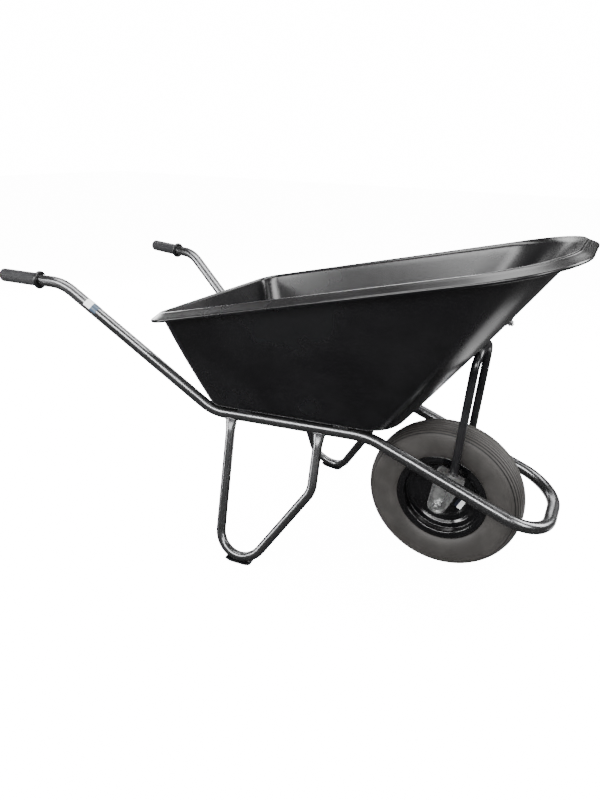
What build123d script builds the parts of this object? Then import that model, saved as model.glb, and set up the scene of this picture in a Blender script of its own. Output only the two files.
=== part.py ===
from build123d import *

import os
from math import acos, atan2, cos, degrees, hypot, radians, sin

# A builder's wheelbarrow: one bent frame tube with two welded legs, a deep moulded tray on two
# cross straps, a front hoop, and a solid tyre on a pressed rim between two folded brackets.
# Everything is in millimetres. +X points forwards (handles to wheel), +Y to the barrow's left
# and +Z up. The pieces are drawn with X = 0 on the axle line and are moved at the end, so that
# X = 0 is the middle of the overall length. Y = 0 is the symmetry plane and Z = 0 the ground.
# Distances named BACK are measured rearwards from the axle. Right-hand pieces are drawn, and
# left-hand pieces are their mirror images.

# ---------------------------------------------------------------- clearances
WELD_GAP = 0.2            # trimmed end to the piece it is welded to
SEAT_GAP = 0.3            # moulded tray to the steel that carries it
SHAFT_CLEARANCE = 0.05    # radial, running and threaded fits
HOLE_CLEARANCE = 0.4      # radial, bolt in a drilled hole
SIDE_PLAY = 0.5           # wheel hub to its distance collars

# ---------------------------------------------------------------- wheel
TYRE_R = 200.0
TYRE_HALF_WIDTH = 48.6
TYRE_WIDEST_R = 160.7
TYRE_ROUNDNESS = 2.4      # exponent of the superellipse that rounds the tyre
TYRE_LIP_OUT = 2.0
TYRE_LIP_LEAN = 0.55
TYRE_SECTION_STEPS = 7
RIM_FLANGE_R = 117.0
RIM_FLANGE_Y = 33.5       # outer face of the flange
RIM_SEAT_R = 101.6
RIM_WELL_Y = 10.05
RIM_RIDGE_R = 86.34
RIM_SHOULDER_R = 80.32
RIM_SHOULDER_Y = 4.69
RIM_DISC_R = 66.26
RIM_CENTRE_R = 60.24
RIM_SHEET = 2.4
RIM_PRESS_R = 2.6         # bend radius of the pressed steps
HUB_R = 19.0
HUB_WALL = 3.0
HUB_HALF_LENGTH = 33.0
BUSH_LENGTH = 22.0
BUSH_FLANGE = 2.5
AXLE_R = 6.0
SLEEVE_R = 10.0
COLLAR_R = 14.0

# ---------------------------------------------------------------- frame tube
TUBE_R = 15.0
TUBE_WALL = 2.0
HANDLE_TIP_BACK = 1190.0
HANDLE_TIP_HALF = 308.0
HANDLE_TIP_HEIGHT = 679.0
HANDLE_BEND_BACK = 1000.0
HANDLE_BEND_HALF = 275.0
HANDLE_BEND_HEIGHT = 673.0
HEEL_BACK = 601.0         # rear end of the level run under the tray
HEEL_HALF = 175.0
HEEL_HEIGHT = 360.0
KNEE_BACK = 176.0         # front end of the level run
KNEE_HALF = 130.0
KNEE_HEIGHT = 374.0
FRONT_FALL = 0.346        # drop of the front run for each unit forwards
LOOP_CLEARANCE = 45.0     # tyre to the front loop
LOOP_HALF = 128.0
HANDLE_BEND_R = 100.0
HEEL_BEND_R = 95.0
KNEE_BEND_R = 200.0
LOOP_BEND_R = 100.0

# ---------------------------------------------------------------- grips
GRIP_R = 17.6
GRIP_LENGTH = 124.0
GRIP_END_WALL = 4.0
GRIP_COLLAR_R = 24.0
GRIP_COLLAR_WIDTH = 8.0

# ---------------------------------------------------------------- legs and feet
LEG_R = 12.5
LEG_WALL = 2.0
LEG_REAR_BACK = 546.0     # where the leg meets the level run
LEG_FRONT_BACK = 298.6
LEG_LOW_BACK = 450.0      # lowest point of the bend
LEG_LOW_HALF = 290.0
LEG_LOW_BEND_R = 65.0
LEG_KNEE_BACK = 288.7
LEG_KNEE_HEIGHT = 218.0
LEG_KNEE_BEND_R = 60.0
FOOT_THICKNESS = 4.0
FOOT_WIDTH = 39.0
FOOT_FLAT = 32.0          # part of the sole that stands on the ground
FOOT_CURL_R = 35.0
FOOT_CURL_ANGLE = 38.0

# ---------------------------------------------------------------- cross straps
STRAP_WIDTH = 40.0
STRAP_THICKNESS = 4.0
STRAP_OVERHANG = 12.0     # beyond the rail's centreline
STRAP_REAR_BACK = 505.0
STRAP_FRONT_BACK = 240.0

# ---------------------------------------------------------------- tray
TRAY_WALL = 5.0
WALL_INSET_FRONT = 7.0    # the sloping front wall's thickness, measured level
RIM_BACK = 705.5          # crest of the rim
RIM_FRONT = 210.4         # ahead of the axle
RIM_BACK_HEIGHT = 632.3
RIM_FRONT_HEIGHT = 853.0
RIM_BACK_HALF = 271.4
RIM_FRONT_HALF = 246.5
RIM_BACK_CORNER_R = 50.0
RIM_FRONT_CORNER_R = 179.0
SKIRT_OUT = 26.0
SKIRT_DROP = 15.0
SKIRT_THICKNESS = 4.5
FLOOR_BACK = 609.9        # where the walls' slopes reach the floor
FLOOR_FRONT_BACK = 115.0
FLOOR_BACK_HALF = 199.8
FLOOR_FRONT_HALF = 150.0
FLOOR_BACK_CORNER_R = 47.0
FLOOR_FRONT_CORNER_R = 88.0
BEVEL_RISE = 26.0         # bevel that rounds the floor into the walls
BEVEL_RUN = 18.0

# ---------------------------------------------------------------- hoop and tab
HOOP_R = 10.0
HOOP_WALL = 2.0
HOOP_HALF = 70.0
HOOP_BEND_R = 42.0
HOOP_CROWN_HEIGHT = 604.0
HOOP_FOOT_BACK = 4.0      # along the bracket's top
TAB_WIDTH = 30.0
TAB_THICKNESS = 4.0
TAB_BOLT_RISE = 82.0      # from the hoop's crown along the tray's front wall
TAB_END = 12.0
TAB_CORNER_R = 9.6

# ---------------------------------------------------------------- axle brackets
BRACKET_SHEET = 4.0
BRACKET_INNER_Y = 62.0
BRACKET_TOP = 104.0       # above the axle, square to the front run
BRACKET_TOP_BACK = 43.0
BRACKET_TOP_FRONT = 30.0
BRACKET_FOOT_R = 24.0
BRACKET_CORNER_R = 12.0
BRACKET_LIP = 5.0

# ---------------------------------------------------------------- fasteners
AXLE_NUT_ACROSS = 19.0
AXLE_NUT_HEIGHT = 10.0
AXLE_WASHER_R = 12.0
AXLE_WASHER_THICKNESS = 2.5
AXLE_STUB = 4.0           # axle end beyond its nut
BOLT_R = 4.0
BOLT_HEAD_R = 10.0
BOLT_HEAD_HEIGHT = 4.5
BOLT_STUB = 4.0           # thread beyond the nut
BOLT_NUT_ACROSS = 13.0
BOLT_NUT_HEIGHT = 6.5
FLOOR_BOLT_HALF = 90.0
FLOOR_WASHER_R = 13.0
FLOOR_WASHER_THICKNESS = 2.0
FRONT_WASHER_R = 11.5
FRONT_WASHER_THICKNESS = 4.0

FROM_BASE = (Align.CENTER, Align.CENTER, Align.MIN)
TO_TOP = (Align.CENTER, Align.CENTER, Align.MAX)


# ================================================================ helpers
def biggest(shape):
    """The largest solid of a cut."""
    return max(shape.solids(), key=lambda solid: solid.volume)


def mirrored(shape):
    """The same piece on the other side of the symmetry plane."""
    return mirror(shape, about=Plane.XZ)


def both_sides(shape):
    """A piece and its mirror image, as one group."""
    return Compound(children=[shape, mirrored(shape)])


def bent_tube(points, radii, outer, wall):
    """A round tube along straight runs joined by tangent bends."""
    path = FilletPolyline(*points, radius=radii)
    start = Plane(origin=path @ 0, z_dir=path % 0)
    skin = sweep(start * Circle(outer), path=path)
    core = sweep(start * Circle(outer - wall), path=path)
    return biggest(skin - core)


def bar(a, b, radius):
    """A straight round bar from a to b."""
    place = Plane(origin=a, z_dir=b - a)
    return place * Cylinder(radius, (b - a).length, align=FROM_BASE)


def axle_ring(outer, inner, low, high):
    """A ring round the axle line, from Y = low to Y = high."""
    solid = Cylinder(outer, high - low) - Cylinder(inner, high - low)
    return Pos(0, (low + high) / 2, TYRE_R) * Rot(90, 0, 0) * biggest(solid)


def turned(section):
    """Revolves a section, drawn as (radius, Y), round the axle line."""
    return Pos(0, 0, TYRE_R) * revolve(section, Axis.Y, 360)


def nut(across, height, thread_r):
    """A hexagon nut standing on the XY plane."""
    body = extrude(RegularPolygon(across / 2, 6, major_radius=False), height)
    return biggest(body - Cylinder(thread_r + SHAFT_CLEARANCE, 3 * height))


def washer(outer, bolt_r, thickness):
    """A plain washer standing on the XY plane."""
    disc = Cylinder(outer, thickness, align=FROM_BASE)
    return biggest(disc - Cylinder(bolt_r + HOLE_CLEARANCE, 3 * thickness))


def domed_bolt(reach):
    """A bolt whose domed head stands on the XY plane, its shank pointing down."""
    dome_r = (BOLT_HEAD_R**2 + BOLT_HEAD_HEIGHT**2) / (2 * BOLT_HEAD_HEIGHT)
    dome = Pos(0, 0, BOLT_HEAD_HEIGHT - dome_r) * Sphere(dome_r)
    below = Cylinder(2 * dome_r, 4 * dome_r, align=TO_TOP)
    return biggest((dome - below) + Cylinder(BOLT_R, reach, align=TO_TOP))


def hole(radius, depth):
    """A drill, centred on the XY plane."""
    return Cylinder(radius + HOLE_CLEARANCE, depth)


# ================================================================ frame tube and grips
def heel():
    return Vector(-HEEL_BACK, -HEEL_HALF, HEEL_HEIGHT)


def knee():
    return Vector(-KNEE_BACK, -KNEE_HALF, KNEE_HEIGHT)


def handle_bend():
    return Vector(-HANDLE_BEND_BACK, -HANDLE_BEND_HALF, HANDLE_BEND_HEIGHT)


def grip_axis():
    """Plane across the right grip's closed end, its local Z running up the handle."""
    tip = Vector(-HANDLE_TIP_BACK, -HANDLE_TIP_HALF, HANDLE_TIP_HEIGHT)
    return Plane(origin=tip, z_dir=handle_bend() - tip)


def loop_corner():
    """Corner of the front loop, on the line of the front run."""
    ahead = TYRE_R + LOOP_CLEARANCE + TUBE_R
    return Vector(ahead, -LOOP_HALF, KNEE_HEIGHT - FRONT_FALL * (KNEE_BACK + ahead))


def on_level_run(distance_back):
    """Point of the right rail's centreline on its level run."""
    share = (HEEL_BACK - distance_back) / (HEEL_BACK - KNEE_BACK)
    return heel() + (knee() - heel()) * share


def main_frame_tube():
    start = grip_axis().origin + grip_axis().z_dir * GRIP_END_WALL
    right = [start, handle_bend(), heel(), knee(), loop_corner()]
    left = [Vector(point.X, -point.Y, point.Z) for point in reversed(right)]
    radii = [HANDLE_BEND_R, HEEL_BEND_R, KNEE_BEND_R, LOOP_BEND_R]
    return bent_tube(right + left, radii + radii[::-1], TUBE_R, TUBE_WALL)


def grip():
    """Closed at its rear end, with a collar in front of the hand."""
    sleeve = Cylinder(GRIP_R, GRIP_LENGTH, align=FROM_BASE)
    sleeve = fillet(sleeve.edges().group_by(Axis.Z)[0], GRIP_R / 3)
    collar = Cylinder(GRIP_COLLAR_R, GRIP_COLLAR_WIDTH, align=FROM_BASE)
    collar = fillet(collar.edges().filter_by(GeomType.CIRCLE), GRIP_COLLAR_WIDTH / 4)
    sleeve += Pos(0, 0, GRIP_LENGTH - GRIP_COLLAR_WIDTH) * collar
    bore = Cylinder(TUBE_R + SHAFT_CLEARANCE, GRIP_LENGTH, align=FROM_BASE)
    return grip_axis() * biggest(sleeve - Pos(0, 0, GRIP_END_WALL) * bore)


# ================================================================ legs and feet
def leg_low():
    """Lowest point of the right leg's centreline."""
    return Vector(-LEG_LOW_BACK, -LEG_LOW_HALF, FOOT_THICKNESS + WELD_GAP + LEG_R)


def leg_plane():
    """The right leg's own plane, at the middle of its low bend; local X level, local Y up."""
    rear, front = on_level_run(LEG_REAR_BACK), on_level_run(LEG_FRONT_BACK)
    normal = (leg_low() - rear).cross(front - rear).normalized()
    level = Vector(0, 0, 1).cross(normal).normalized()
    upright = normal.cross(level)
    middle = leg_low() + upright * LEG_LOW_BEND_R
    return Plane(origin=middle, x_dir=level, z_dir=normal)


def touch(point, side):
    """Where the tangent from a point meets the low bend; side is -1 behind and 1 in front."""
    swing = acos(LEG_LOW_BEND_R / hypot(point.X, point.Y))
    angle = atan2(point.Y, point.X) - side * swing
    return Vector(LEG_LOW_BEND_R * cos(angle), LEG_LOW_BEND_R * sin(angle), 0)


def crossing(a, b, c, d):
    """Where line a-b meets line c-d in one plane."""
    along, other = b - a, d - c
    share = (c - a).cross(other).Z / along.cross(other).Z
    return a + along * share


def leg():
    """Both runs leave the low bend tangentially; the front one turns upright at the leg's knee."""
    place = leg_plane()
    rear = place.to_local_coords(on_level_run(LEG_REAR_BACK))
    front = place.to_local_coords(on_level_run(LEG_FRONT_BACK))
    rise = (LEG_KNEE_HEIGHT - place.origin.Z) / place.y_dir.Z
    ahead = (-LEG_KNEE_BACK - place.origin.X - place.y_dir.X * rise) / place.x_dir.X
    bend = Vector(ahead, rise, 0)
    low = crossing(rear, touch(rear, -1), bend, touch(bend, 1))
    points = [place.from_local_coords(point) for point in (rear, low, bend, front)]
    tube = bent_tube(points, [LEG_LOW_BEND_R, LEG_KNEE_BEND_R], LEG_R, LEG_WALL)
    return biggest(tube - bar(heel(), knee(), TUBE_R + WELD_GAP))


def foot_plate():
    """Flat shoe welded under the right leg, curling up at both ends."""
    half = FOOT_FLAT / 2
    outer_r = FOOT_CURL_R + FOOT_THICKNESS
    outer = CenterArc((half, outer_r), outer_r, -90, FOOT_CURL_ANGLE)
    inner = CenterArc((half, outer_r), FOOT_CURL_R, -90, FOOT_CURL_ANGLE)
    front = make_face(
        [
            Line((0, 0), outer @ 0),
            outer,
            Line(outer @ 1, inner @ 1),
            inner,
            Line(inner @ 0, (0, FOOT_THICKNESS)),
            Line((0, FOOT_THICKNESS), (0, 0)),
        ]
    )
    profile = front + mirror(front, about=Plane.YZ)
    shoe = extrude(Plane.XZ * profile, FOOT_WIDTH / 2, both=True)
    turn = degrees(atan2(leg_plane().x_dir.Y, leg_plane().x_dir.X))
    return Pos(leg_low().X, leg_low().Y, 0) * Rot(0, 0, turn) * biggest(shoe)


# ================================================================ cross straps
def strap_plane(distance_back):
    """Underside of a cross strap, lying on both rails; local X forwards."""
    run = knee() - heel()
    normal = Vector(-run.Z, 0, run.X).normalized()
    middle = Vector(-distance_back, 0, on_level_run(distance_back).Z)
    middle += normal * (TUBE_R + WELD_GAP)
    return Plane(origin=middle, x_dir=Vector(run.X, 0, run.Z), z_dir=normal)


def cross_strap(distance_back):
    """Flat bar welded across the rails, drilled for two tray bolts."""
    reach = 2 * (STRAP_OVERHANG - on_level_run(distance_back).Y)
    flat = Box(STRAP_WIDTH, reach, STRAP_THICKNESS, align=FROM_BASE)
    flat = fillet(flat.edges().filter_by(Axis.Z), STRAP_THICKNESS)
    for y in (-FLOOR_BOLT_HALF, FLOOR_BOLT_HALF):
        flat -= Pos(0, y, 0) * hole(BOLT_R, 4 * STRAP_THICKNESS)
    return strap_plane(distance_back) * biggest(flat)


# ================================================================ tray
def floor_plane(lift=0.0):
    """Underside of the tray's floor; its local X starts at the floor's rear edge."""
    place = strap_plane(FLOOR_BACK)
    seat = place.origin + place.z_dir * (STRAP_THICKNESS + SEAT_GAP + lift)
    return Plane(origin=seat, x_dir=place.x_dir, z_dir=place.z_dir)


def rim_plane(lift=0.0):
    """Plane of the rim's crest; its local X starts at the rear edge."""
    run = Vector(RIM_BACK + RIM_FRONT, 0, RIM_FRONT_HEIGHT - RIM_BACK_HEIGHT)
    normal = Vector(-run.Z, 0, run.X).normalized()
    corner = Vector(-RIM_BACK, 0, RIM_BACK_HEIGHT)
    return Plane(origin=corner + normal * lift, x_dir=run, z_dir=normal)


def outline(plan, front=0.0, side=0.0):
    """A rounded trapezoid, its front edge and its other edges moved outwards."""
    rear_x, front_x, rear_half, front_half, rear_r, front_r = plan
    corners = Polyline(
        (rear_x - side, -rear_half - side),
        (front_x + front, -front_half - side),
        (front_x + front, front_half + side),
        (rear_x - side, rear_half + side),
        close=True,
    )
    face = fillet(make_face(corners).vertices().group_by(Axis.X)[0], rear_r + side)
    return fillet(face.vertices().group_by(Axis.X)[-1], front_r + side)


def rim_plan():
    run = hypot(RIM_BACK + RIM_FRONT, RIM_FRONT_HEIGHT - RIM_BACK_HEIGHT)
    return (0, run, RIM_BACK_HALF, RIM_FRONT_HALF, RIM_BACK_CORNER_R, RIM_FRONT_CORNER_R)


def bevel_plan():
    """The walls' outline at the top of the bevel."""
    rear_share = BEVEL_RISE / (RIM_BACK_HEIGHT - floor_plane().origin.Z)
    front_share = BEVEL_RISE / (RIM_FRONT_HEIGHT - floor_plane().origin.Z)
    return (
        -rear_share * (RIM_BACK - FLOOR_BACK),
        FLOOR_BACK - FLOOR_FRONT_BACK + front_share * (RIM_FRONT + FLOOR_FRONT_BACK),
        FLOOR_BACK_HALF + rear_share * (RIM_BACK_HALF - FLOOR_BACK_HALF),
        FLOOR_FRONT_HALF + front_share * (RIM_FRONT_HALF - FLOOR_FRONT_HALF),
        FLOOR_BACK_CORNER_R,
        FLOOR_FRONT_CORNER_R,
    )


def floor_plan():
    """The flat floor inside the bevel."""
    return (
        BEVEL_RUN,
        FLOOR_BACK - FLOOR_FRONT_BACK - BEVEL_RUN,
        FLOOR_BACK_HALF - BEVEL_RUN,
        FLOOR_FRONT_HALF - BEVEL_RUN,
        FLOOR_BACK_CORNER_R,
        FLOOR_FRONT_CORNER_R - BEVEL_RUN,
    )


def tray_form(front, side, floor_lift):
    """The tray's closed form, its edges moved inwards and its floor raised."""
    sections = [
        floor_plane(floor_lift) * outline(floor_plan(), -front, -side),
        floor_plane(BEVEL_RISE) * outline(bevel_plan(), -front, -side),
        rim_plane() * outline(rim_plan(), -front, -side),
    ]
    return loft(sections, ruled=True)


def tray():
    """Moulded in one piece: floor, four walls and a rim whose skirt slants outwards."""
    cavity = tray_form(WALL_INSET_FRONT, TRAY_WALL, TRAY_WALL)
    mouth_face = rim_plane() * outline(rim_plan(), -WALL_INSET_FRONT, -TRAY_WALL)
    mouth = extrude(mouth_face, SKIRT_DROP, dir=rim_plane().z_dir)
    crest = rim_plane() * outline(rim_plan())
    hem = rim_plane(-SKIRT_DROP) * outline(rim_plan(), SKIRT_OUT, SKIRT_OUT)
    eave = loft([hem, crest], ruled=True)
    under = Pos(*(rim_plane().z_dir * -SKIRT_THICKNESS)) * eave
    body = tray_form(0, 0, 0) + biggest(eave - under) - cavity - mouth
    for place in floor_bolt_planes():
        body -= place * hole(BOLT_R, 8 * TRAY_WALL)
    return biggest(body - front_bolt_plane() * hole(BOLT_R, 8 * TRAY_WALL))


def front_wall(inset=0.0):
    """The front wall at Y = 0, from the bevel up to the rim, as two points."""
    foot = Vector(bevel_plan()[1] - inset, 0, 0)
    head = Vector(rim_plan()[1] - inset, 0, 0)
    return floor_plane(BEVEL_RISE).from_local_coords(foot), rim_plane().from_local_coords(head)


def wall_axes():
    """Directions up the front wall and square out of it."""
    foot, head = front_wall()
    rise = (head - foot).normalized()
    return rise, Vector(rise.Z, 0, -rise.X)


# ================================================================ hoop and tab
def hoop_crown():
    """Middle of the crown, which leans on the front wall."""
    rise, out = wall_axes()
    point = front_wall()[0] + out * (HOOP_R + SEAT_GAP)
    return point + rise * ((HOOP_CROWN_HEIGHT - point.Z) / rise.Z)


def tray_hoop():
    """An upturned U whose feet stand on the brackets' shelves."""
    shelf = bracket_plane(0)
    foot = shelf.from_local_coords(Vector(-HOOP_FOOT_BACK, BRACKET_TOP + WELD_GAP, 0))
    crown = hoop_crown()
    below = foot - (crown - foot).normalized() * HOOP_R
    side = Vector(0, HOOP_HALF, 0)
    points = [below - side, crown - side, crown + side, below + side]
    tube = bent_tube(points, HOOP_BEND_R, HOOP_R, HOOP_WALL)
    floor = Plane(origin=foot, x_dir=(0, 1, 0), z_dir=shelf.y_dir)
    return biggest(tube - floor * Box(4 * HOOP_HALF, 4 * HOOP_R, 2 * HOOP_R, align=TO_TOP))


def tab_plane():
    """Inner face of the tab: local X up the front wall, local Z outwards."""
    rise, out = wall_axes()
    return Plane(origin=hoop_crown() - out * HOOP_R, x_dir=rise, z_dir=out)


def front_bolt_plane():
    """On the tab's inner face, at its bolt."""
    place = tab_plane()
    spot = place.from_local_coords(Vector(TAB_BOLT_RISE, 0, 0))
    return Plane(origin=spot, x_dir=place.x_dir, z_dir=place.z_dir)


def hoop_tab():
    """Flat tab welded to the crown and bolted to the front wall."""
    align = (Align.MIN, Align.CENTER, Align.MIN)
    flat = Box(TAB_BOLT_RISE + TAB_END, TAB_WIDTH, TAB_THICKNESS, align=align)
    flat = fillet(flat.edges().filter_by(Axis.Z).group_by(Axis.X)[-1], TAB_CORNER_R)
    flat -= Pos(TAB_BOLT_RISE, 0, 0) * hole(BOLT_R, 4 * TAB_THICKNESS)
    side = Vector(0, HOOP_HALF, 0)
    crown = bar(hoop_crown() - side, hoop_crown() + side, HOOP_R + WELD_GAP)
    return biggest(tab_plane() * flat - crown)


# ================================================================ axle brackets
def bracket_plane(y):
    """A plate's side view: local X along the front run, local Y up, local Z to the right."""
    return Plane(origin=(0, y, TYRE_R), x_dir=(1, 0, -FRONT_FALL), z_dir=(0, -1, 0))


def bracket_outline(inset=0.0):
    """A shield, round below the axle and straight along the top."""
    corner_y = BRACKET_TOP - BRACKET_CORNER_R
    bottom = Circle(BRACKET_FOOT_R - inset)
    rear = Pos(BRACKET_CORNER_R - BRACKET_TOP_BACK, corner_y) * Circle(BRACKET_CORNER_R - inset)
    front = Pos(BRACKET_TOP_FRONT - BRACKET_CORNER_R, corner_y) * Circle(BRACKET_CORNER_R - inset)
    return make_hull([*bottom.edges(), *rear.edges(), *front.edges()])


def axle_bracket():
    """Hanging plate with a folded lip, and a shelf welded to the rail's inner side."""
    plate = extrude(bracket_outline(), BRACKET_SHEET)
    lip = extrude(bracket_outline() - bracket_outline(BRACKET_SHEET), BRACKET_SHEET + BRACKET_LIP)
    reach = LOOP_HALF - BRACKET_INNER_Y
    length = BRACKET_TOP_BACK + BRACKET_TOP_FRONT - BRACKET_CORNER_R
    shelf = Box(length, BRACKET_SHEET, reach, align=(Align.CENTER, Align.MAX, Align.MIN))
    middle = (BRACKET_TOP_FRONT - BRACKET_TOP_BACK) / 2
    folded = plate + lip + Pos(middle, BRACKET_TOP, 0) * shelf
    folded -= Cylinder(AXLE_R + SHAFT_CLEARANCE, 6 * BRACKET_SHEET)
    rail = bar(knee(), loop_corner(), TUBE_R + WELD_GAP)
    return biggest(bracket_plane(-BRACKET_INNER_Y) * folded - rail)


# ================================================================ wheel
def tyre_bulge(angle):
    """Point of the tyre's outer section, as (radius, Y); 0 is the widest point, 90 the crown."""
    power = 2 / TYRE_ROUNDNESS
    height = TYRE_R - TYRE_WIDEST_R
    radius = TYRE_WIDEST_R + height * sin(radians(angle)) ** power
    return radius, TYRE_HALF_WIDTH * cos(radians(angle)) ** power


def tyre():
    """Solid tyre, its foot held between the rim's flanges."""
    foot_r = RIM_SEAT_R + 2 * WELD_GAP
    foot_y = RIM_FLANGE_Y - RIM_SHEET - WELD_GAP
    lip_r = RIM_FLANGE_R + 2 * WELD_GAP
    crown = [tyre_bulge(90 * (1 - step / TYRE_SECTION_STEPS)) for step in range(TYRE_SECTION_STEPS)]
    widest = (TYRE_WIDEST_R, TYRE_HALF_WIDTH)
    shoulder = Spline((TYRE_R, 0), *crown[1:], widest, tangents=[(0, 1), (-1, 0)])
    lip = (lip_r, RIM_FLANGE_Y + TYRE_LIP_OUT)
    cheek = Spline(widest, lip, tangents=[(-1, 0), (-TYRE_LIP_LEAN, -1)])
    half = [
        shoulder,
        cheek,
        Polyline(
            lip,
            (lip_r, foot_y),
            (foot_r + RIM_SHEET, foot_y),
            (foot_r, foot_y - RIM_SHEET),
            (foot_r, 0),
        ),
        Line((foot_r, 0), (TYRE_R, 0)),
    ]
    section = make_face([edge for line in half for edge in line.edges()])
    return turned(section + mirror(section, about=Plane.XZ))


def rim_half():
    """Left pressed half: flange, tyre seat and a dish that steps down to the hub."""
    half = RIM_SHEET / 2
    seam = half + WELD_GAP / 2
    seat_r = RIM_SEAT_R - half
    dish = [
        (RIM_FLANGE_R, RIM_FLANGE_Y - half),
        (seat_r, RIM_FLANGE_Y - half),
        (seat_r, RIM_WELL_Y),
        (RIM_RIDGE_R, RIM_WELL_Y),
        (RIM_SHOULDER_R, RIM_SHOULDER_Y),
        (RIM_DISC_R, RIM_SHOULDER_Y),
        (RIM_CENTRE_R, seam),
        (HUB_R + WELD_GAP, seam),
    ]
    path = FilletPolyline(*dish, radius=RIM_PRESS_R)
    return turned(trace(path, RIM_SHEET))


def hub_tube():
    return axle_ring(HUB_R, HUB_R - HUB_WALL, -HUB_HALF_LENGTH, HUB_HALF_LENGTH)


def bush():
    """Left flanged nylon bush, pressed in the hub and running on the sleeve."""
    bore = SLEEVE_R + SHAFT_CLEARANCE
    outer = HUB_R - HUB_WALL - SHAFT_CLEARANCE
    inside = HUB_HALF_LENGTH - BUSH_LENGTH
    barrel = axle_ring(outer, bore, inside, HUB_HALF_LENGTH + BUSH_FLANGE)
    flange = axle_ring(HUB_R, bore, HUB_HALF_LENGTH, HUB_HALF_LENGTH + BUSH_FLANGE)
    return biggest(barrel + flange)


# ================================================================ axle and its fasteners
def axle():
    half = (
        BRACKET_INNER_Y + BRACKET_SHEET + AXLE_WASHER_THICKNESS + AXLE_NUT_HEIGHT + AXLE_STUB
    )
    rod = Cylinder(AXLE_R, 2 * half)
    rod = chamfer(rod.edges().filter_by(GeomType.CIRCLE), AXLE_R / 6)
    return Pos(0, 0, TYRE_R) * Rot(90, 0, 0) * rod


def axle_sleeve():
    """Spacer tube clamped between the two plates; the bushes run on it."""
    half = BRACKET_INNER_Y - SHAFT_CLEARANCE
    return axle_ring(SLEEVE_R, AXLE_R + SHAFT_CLEARANCE, -half, half)


def distance_collar():
    """Left collar that keeps the hub in the middle."""
    low = HUB_HALF_LENGTH + BUSH_FLANGE + SIDE_PLAY
    return axle_ring(COLLAR_R, SLEEVE_R + SHAFT_CLEARANCE, low, BRACKET_INNER_Y - SHAFT_CLEARANCE)


def plate_outside(offset):
    """Plane outside the left plate, its local Z pointing left."""
    y = BRACKET_INNER_Y + BRACKET_SHEET + SHAFT_CLEARANCE + offset
    return Plane(origin=(0, y, TYRE_R), x_dir=(1, 0, 0), z_dir=(0, 1, 0))


def axle_washer():
    return plate_outside(0) * washer(AXLE_WASHER_R, AXLE_R, AXLE_WASHER_THICKNESS)


def axle_nut():
    place = plate_outside(AXLE_WASHER_THICKNESS + SHAFT_CLEARANCE)
    return place * nut(AXLE_NUT_ACROSS, AXLE_NUT_HEIGHT, AXLE_R)


# ================================================================ tray fasteners
def floor_bolt_planes():
    """Underside of the straps at the four floor bolts."""
    places = []
    for distance_back in (STRAP_REAR_BACK, STRAP_FRONT_BACK):
        under = strap_plane(distance_back)
        places += [under * Pos(0, y, 0) for y in (-FLOOR_BOLT_HALF, FLOOR_BOLT_HALF)]
    return places


def at_floor_bolts(piece):
    return Compound(children=[place * piece for place in floor_bolt_planes()])


def floor_top():
    """Height of the floor's inner face above the strap's underside."""
    return STRAP_THICKNESS + SEAT_GAP + TRAY_WALL + SHAFT_CLEARANCE


def floor_washer():
    disc = washer(FLOOR_WASHER_R, BOLT_R, FLOOR_WASHER_THICKNESS)
    return Pos(0, 0, floor_top()) * disc


def floor_bolt():
    head = floor_top() + FLOOR_WASHER_THICKNESS + SHAFT_CLEARANCE
    return Pos(0, 0, head) * domed_bolt(head + BOLT_NUT_HEIGHT + BOLT_STUB)


def floor_nut():
    drop = BOLT_NUT_HEIGHT + SHAFT_CLEARANCE
    return Pos(0, 0, -drop) * nut(BOLT_NUT_ACROSS, BOLT_NUT_HEIGHT, BOLT_R)


def front_wall_depth():
    """From the tab's inner face to the wall's inner face, at the front bolt."""
    foot, head = front_wall(WALL_INSET_FRONT)
    rise, out = wall_axes()
    spot = front_bolt_plane().origin
    inner = (head - foot).normalized()
    share = (spot - foot).dot(rise) / inner.dot(rise)
    return (spot - (foot + inner * share)).dot(out) + SEAT_GAP


def front_stack(depth):
    """Plane square to the front bolt, this far outside the tab's inner face."""
    place = front_bolt_plane()
    return Plane(origin=place.origin + place.z_dir * depth, x_dir=place.x_dir, z_dir=place.z_dir)


def tray_front_bolt():
    """Domed head inside the tray, thread outside."""
    outside = TAB_THICKNESS + FRONT_WASHER_THICKNESS + BOLT_NUT_HEIGHT + BOLT_STUB
    bolt = domed_bolt(front_wall_depth() + outside)
    return front_stack(-front_wall_depth()) * Rot(180, 0, 0) * bolt


def tray_front_washer():
    disc = washer(FRONT_WASHER_R, BOLT_R, FRONT_WASHER_THICKNESS)
    return front_stack(TAB_THICKNESS + SHAFT_CLEARANCE) * disc


def tray_front_nut():
    stack = TAB_THICKNESS + FRONT_WASHER_THICKNESS + 2 * SHAFT_CLEARANCE
    return front_stack(stack) * nut(BOLT_NUT_ACROSS, BOLT_NUT_HEIGHT, BOLT_R)


# ================================================================ assembly
def single_pieces():
    return {
        "main_frame_tube": main_frame_tube(),
        "cross_strap_rear": cross_strap(STRAP_REAR_BACK),
        "cross_strap_front": cross_strap(STRAP_FRONT_BACK),
        "tray": tray(),
        "tray_floor_bolts": at_floor_bolts(floor_bolt()),
        "tray_floor_washers": at_floor_bolts(floor_washer()),
        "tray_floor_nuts": at_floor_bolts(floor_nut()),
        "tray_hoop": tray_hoop(),
        "hoop_tab": hoop_tab(),
        "tray_front_bolt": tray_front_bolt(),
        "tray_front_washer": tray_front_washer(),
        "tray_front_nut": tray_front_nut(),
        "axle": axle(),
        "axle_sleeve": axle_sleeve(),
        "distance_collars": both_sides(distance_collar()),
        "axle_washers": both_sides(axle_washer()),
        "axle_nuts": both_sides(axle_nut()),
        "tyre": tyre(),
        "hub_tube": hub_tube(),
    }


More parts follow.
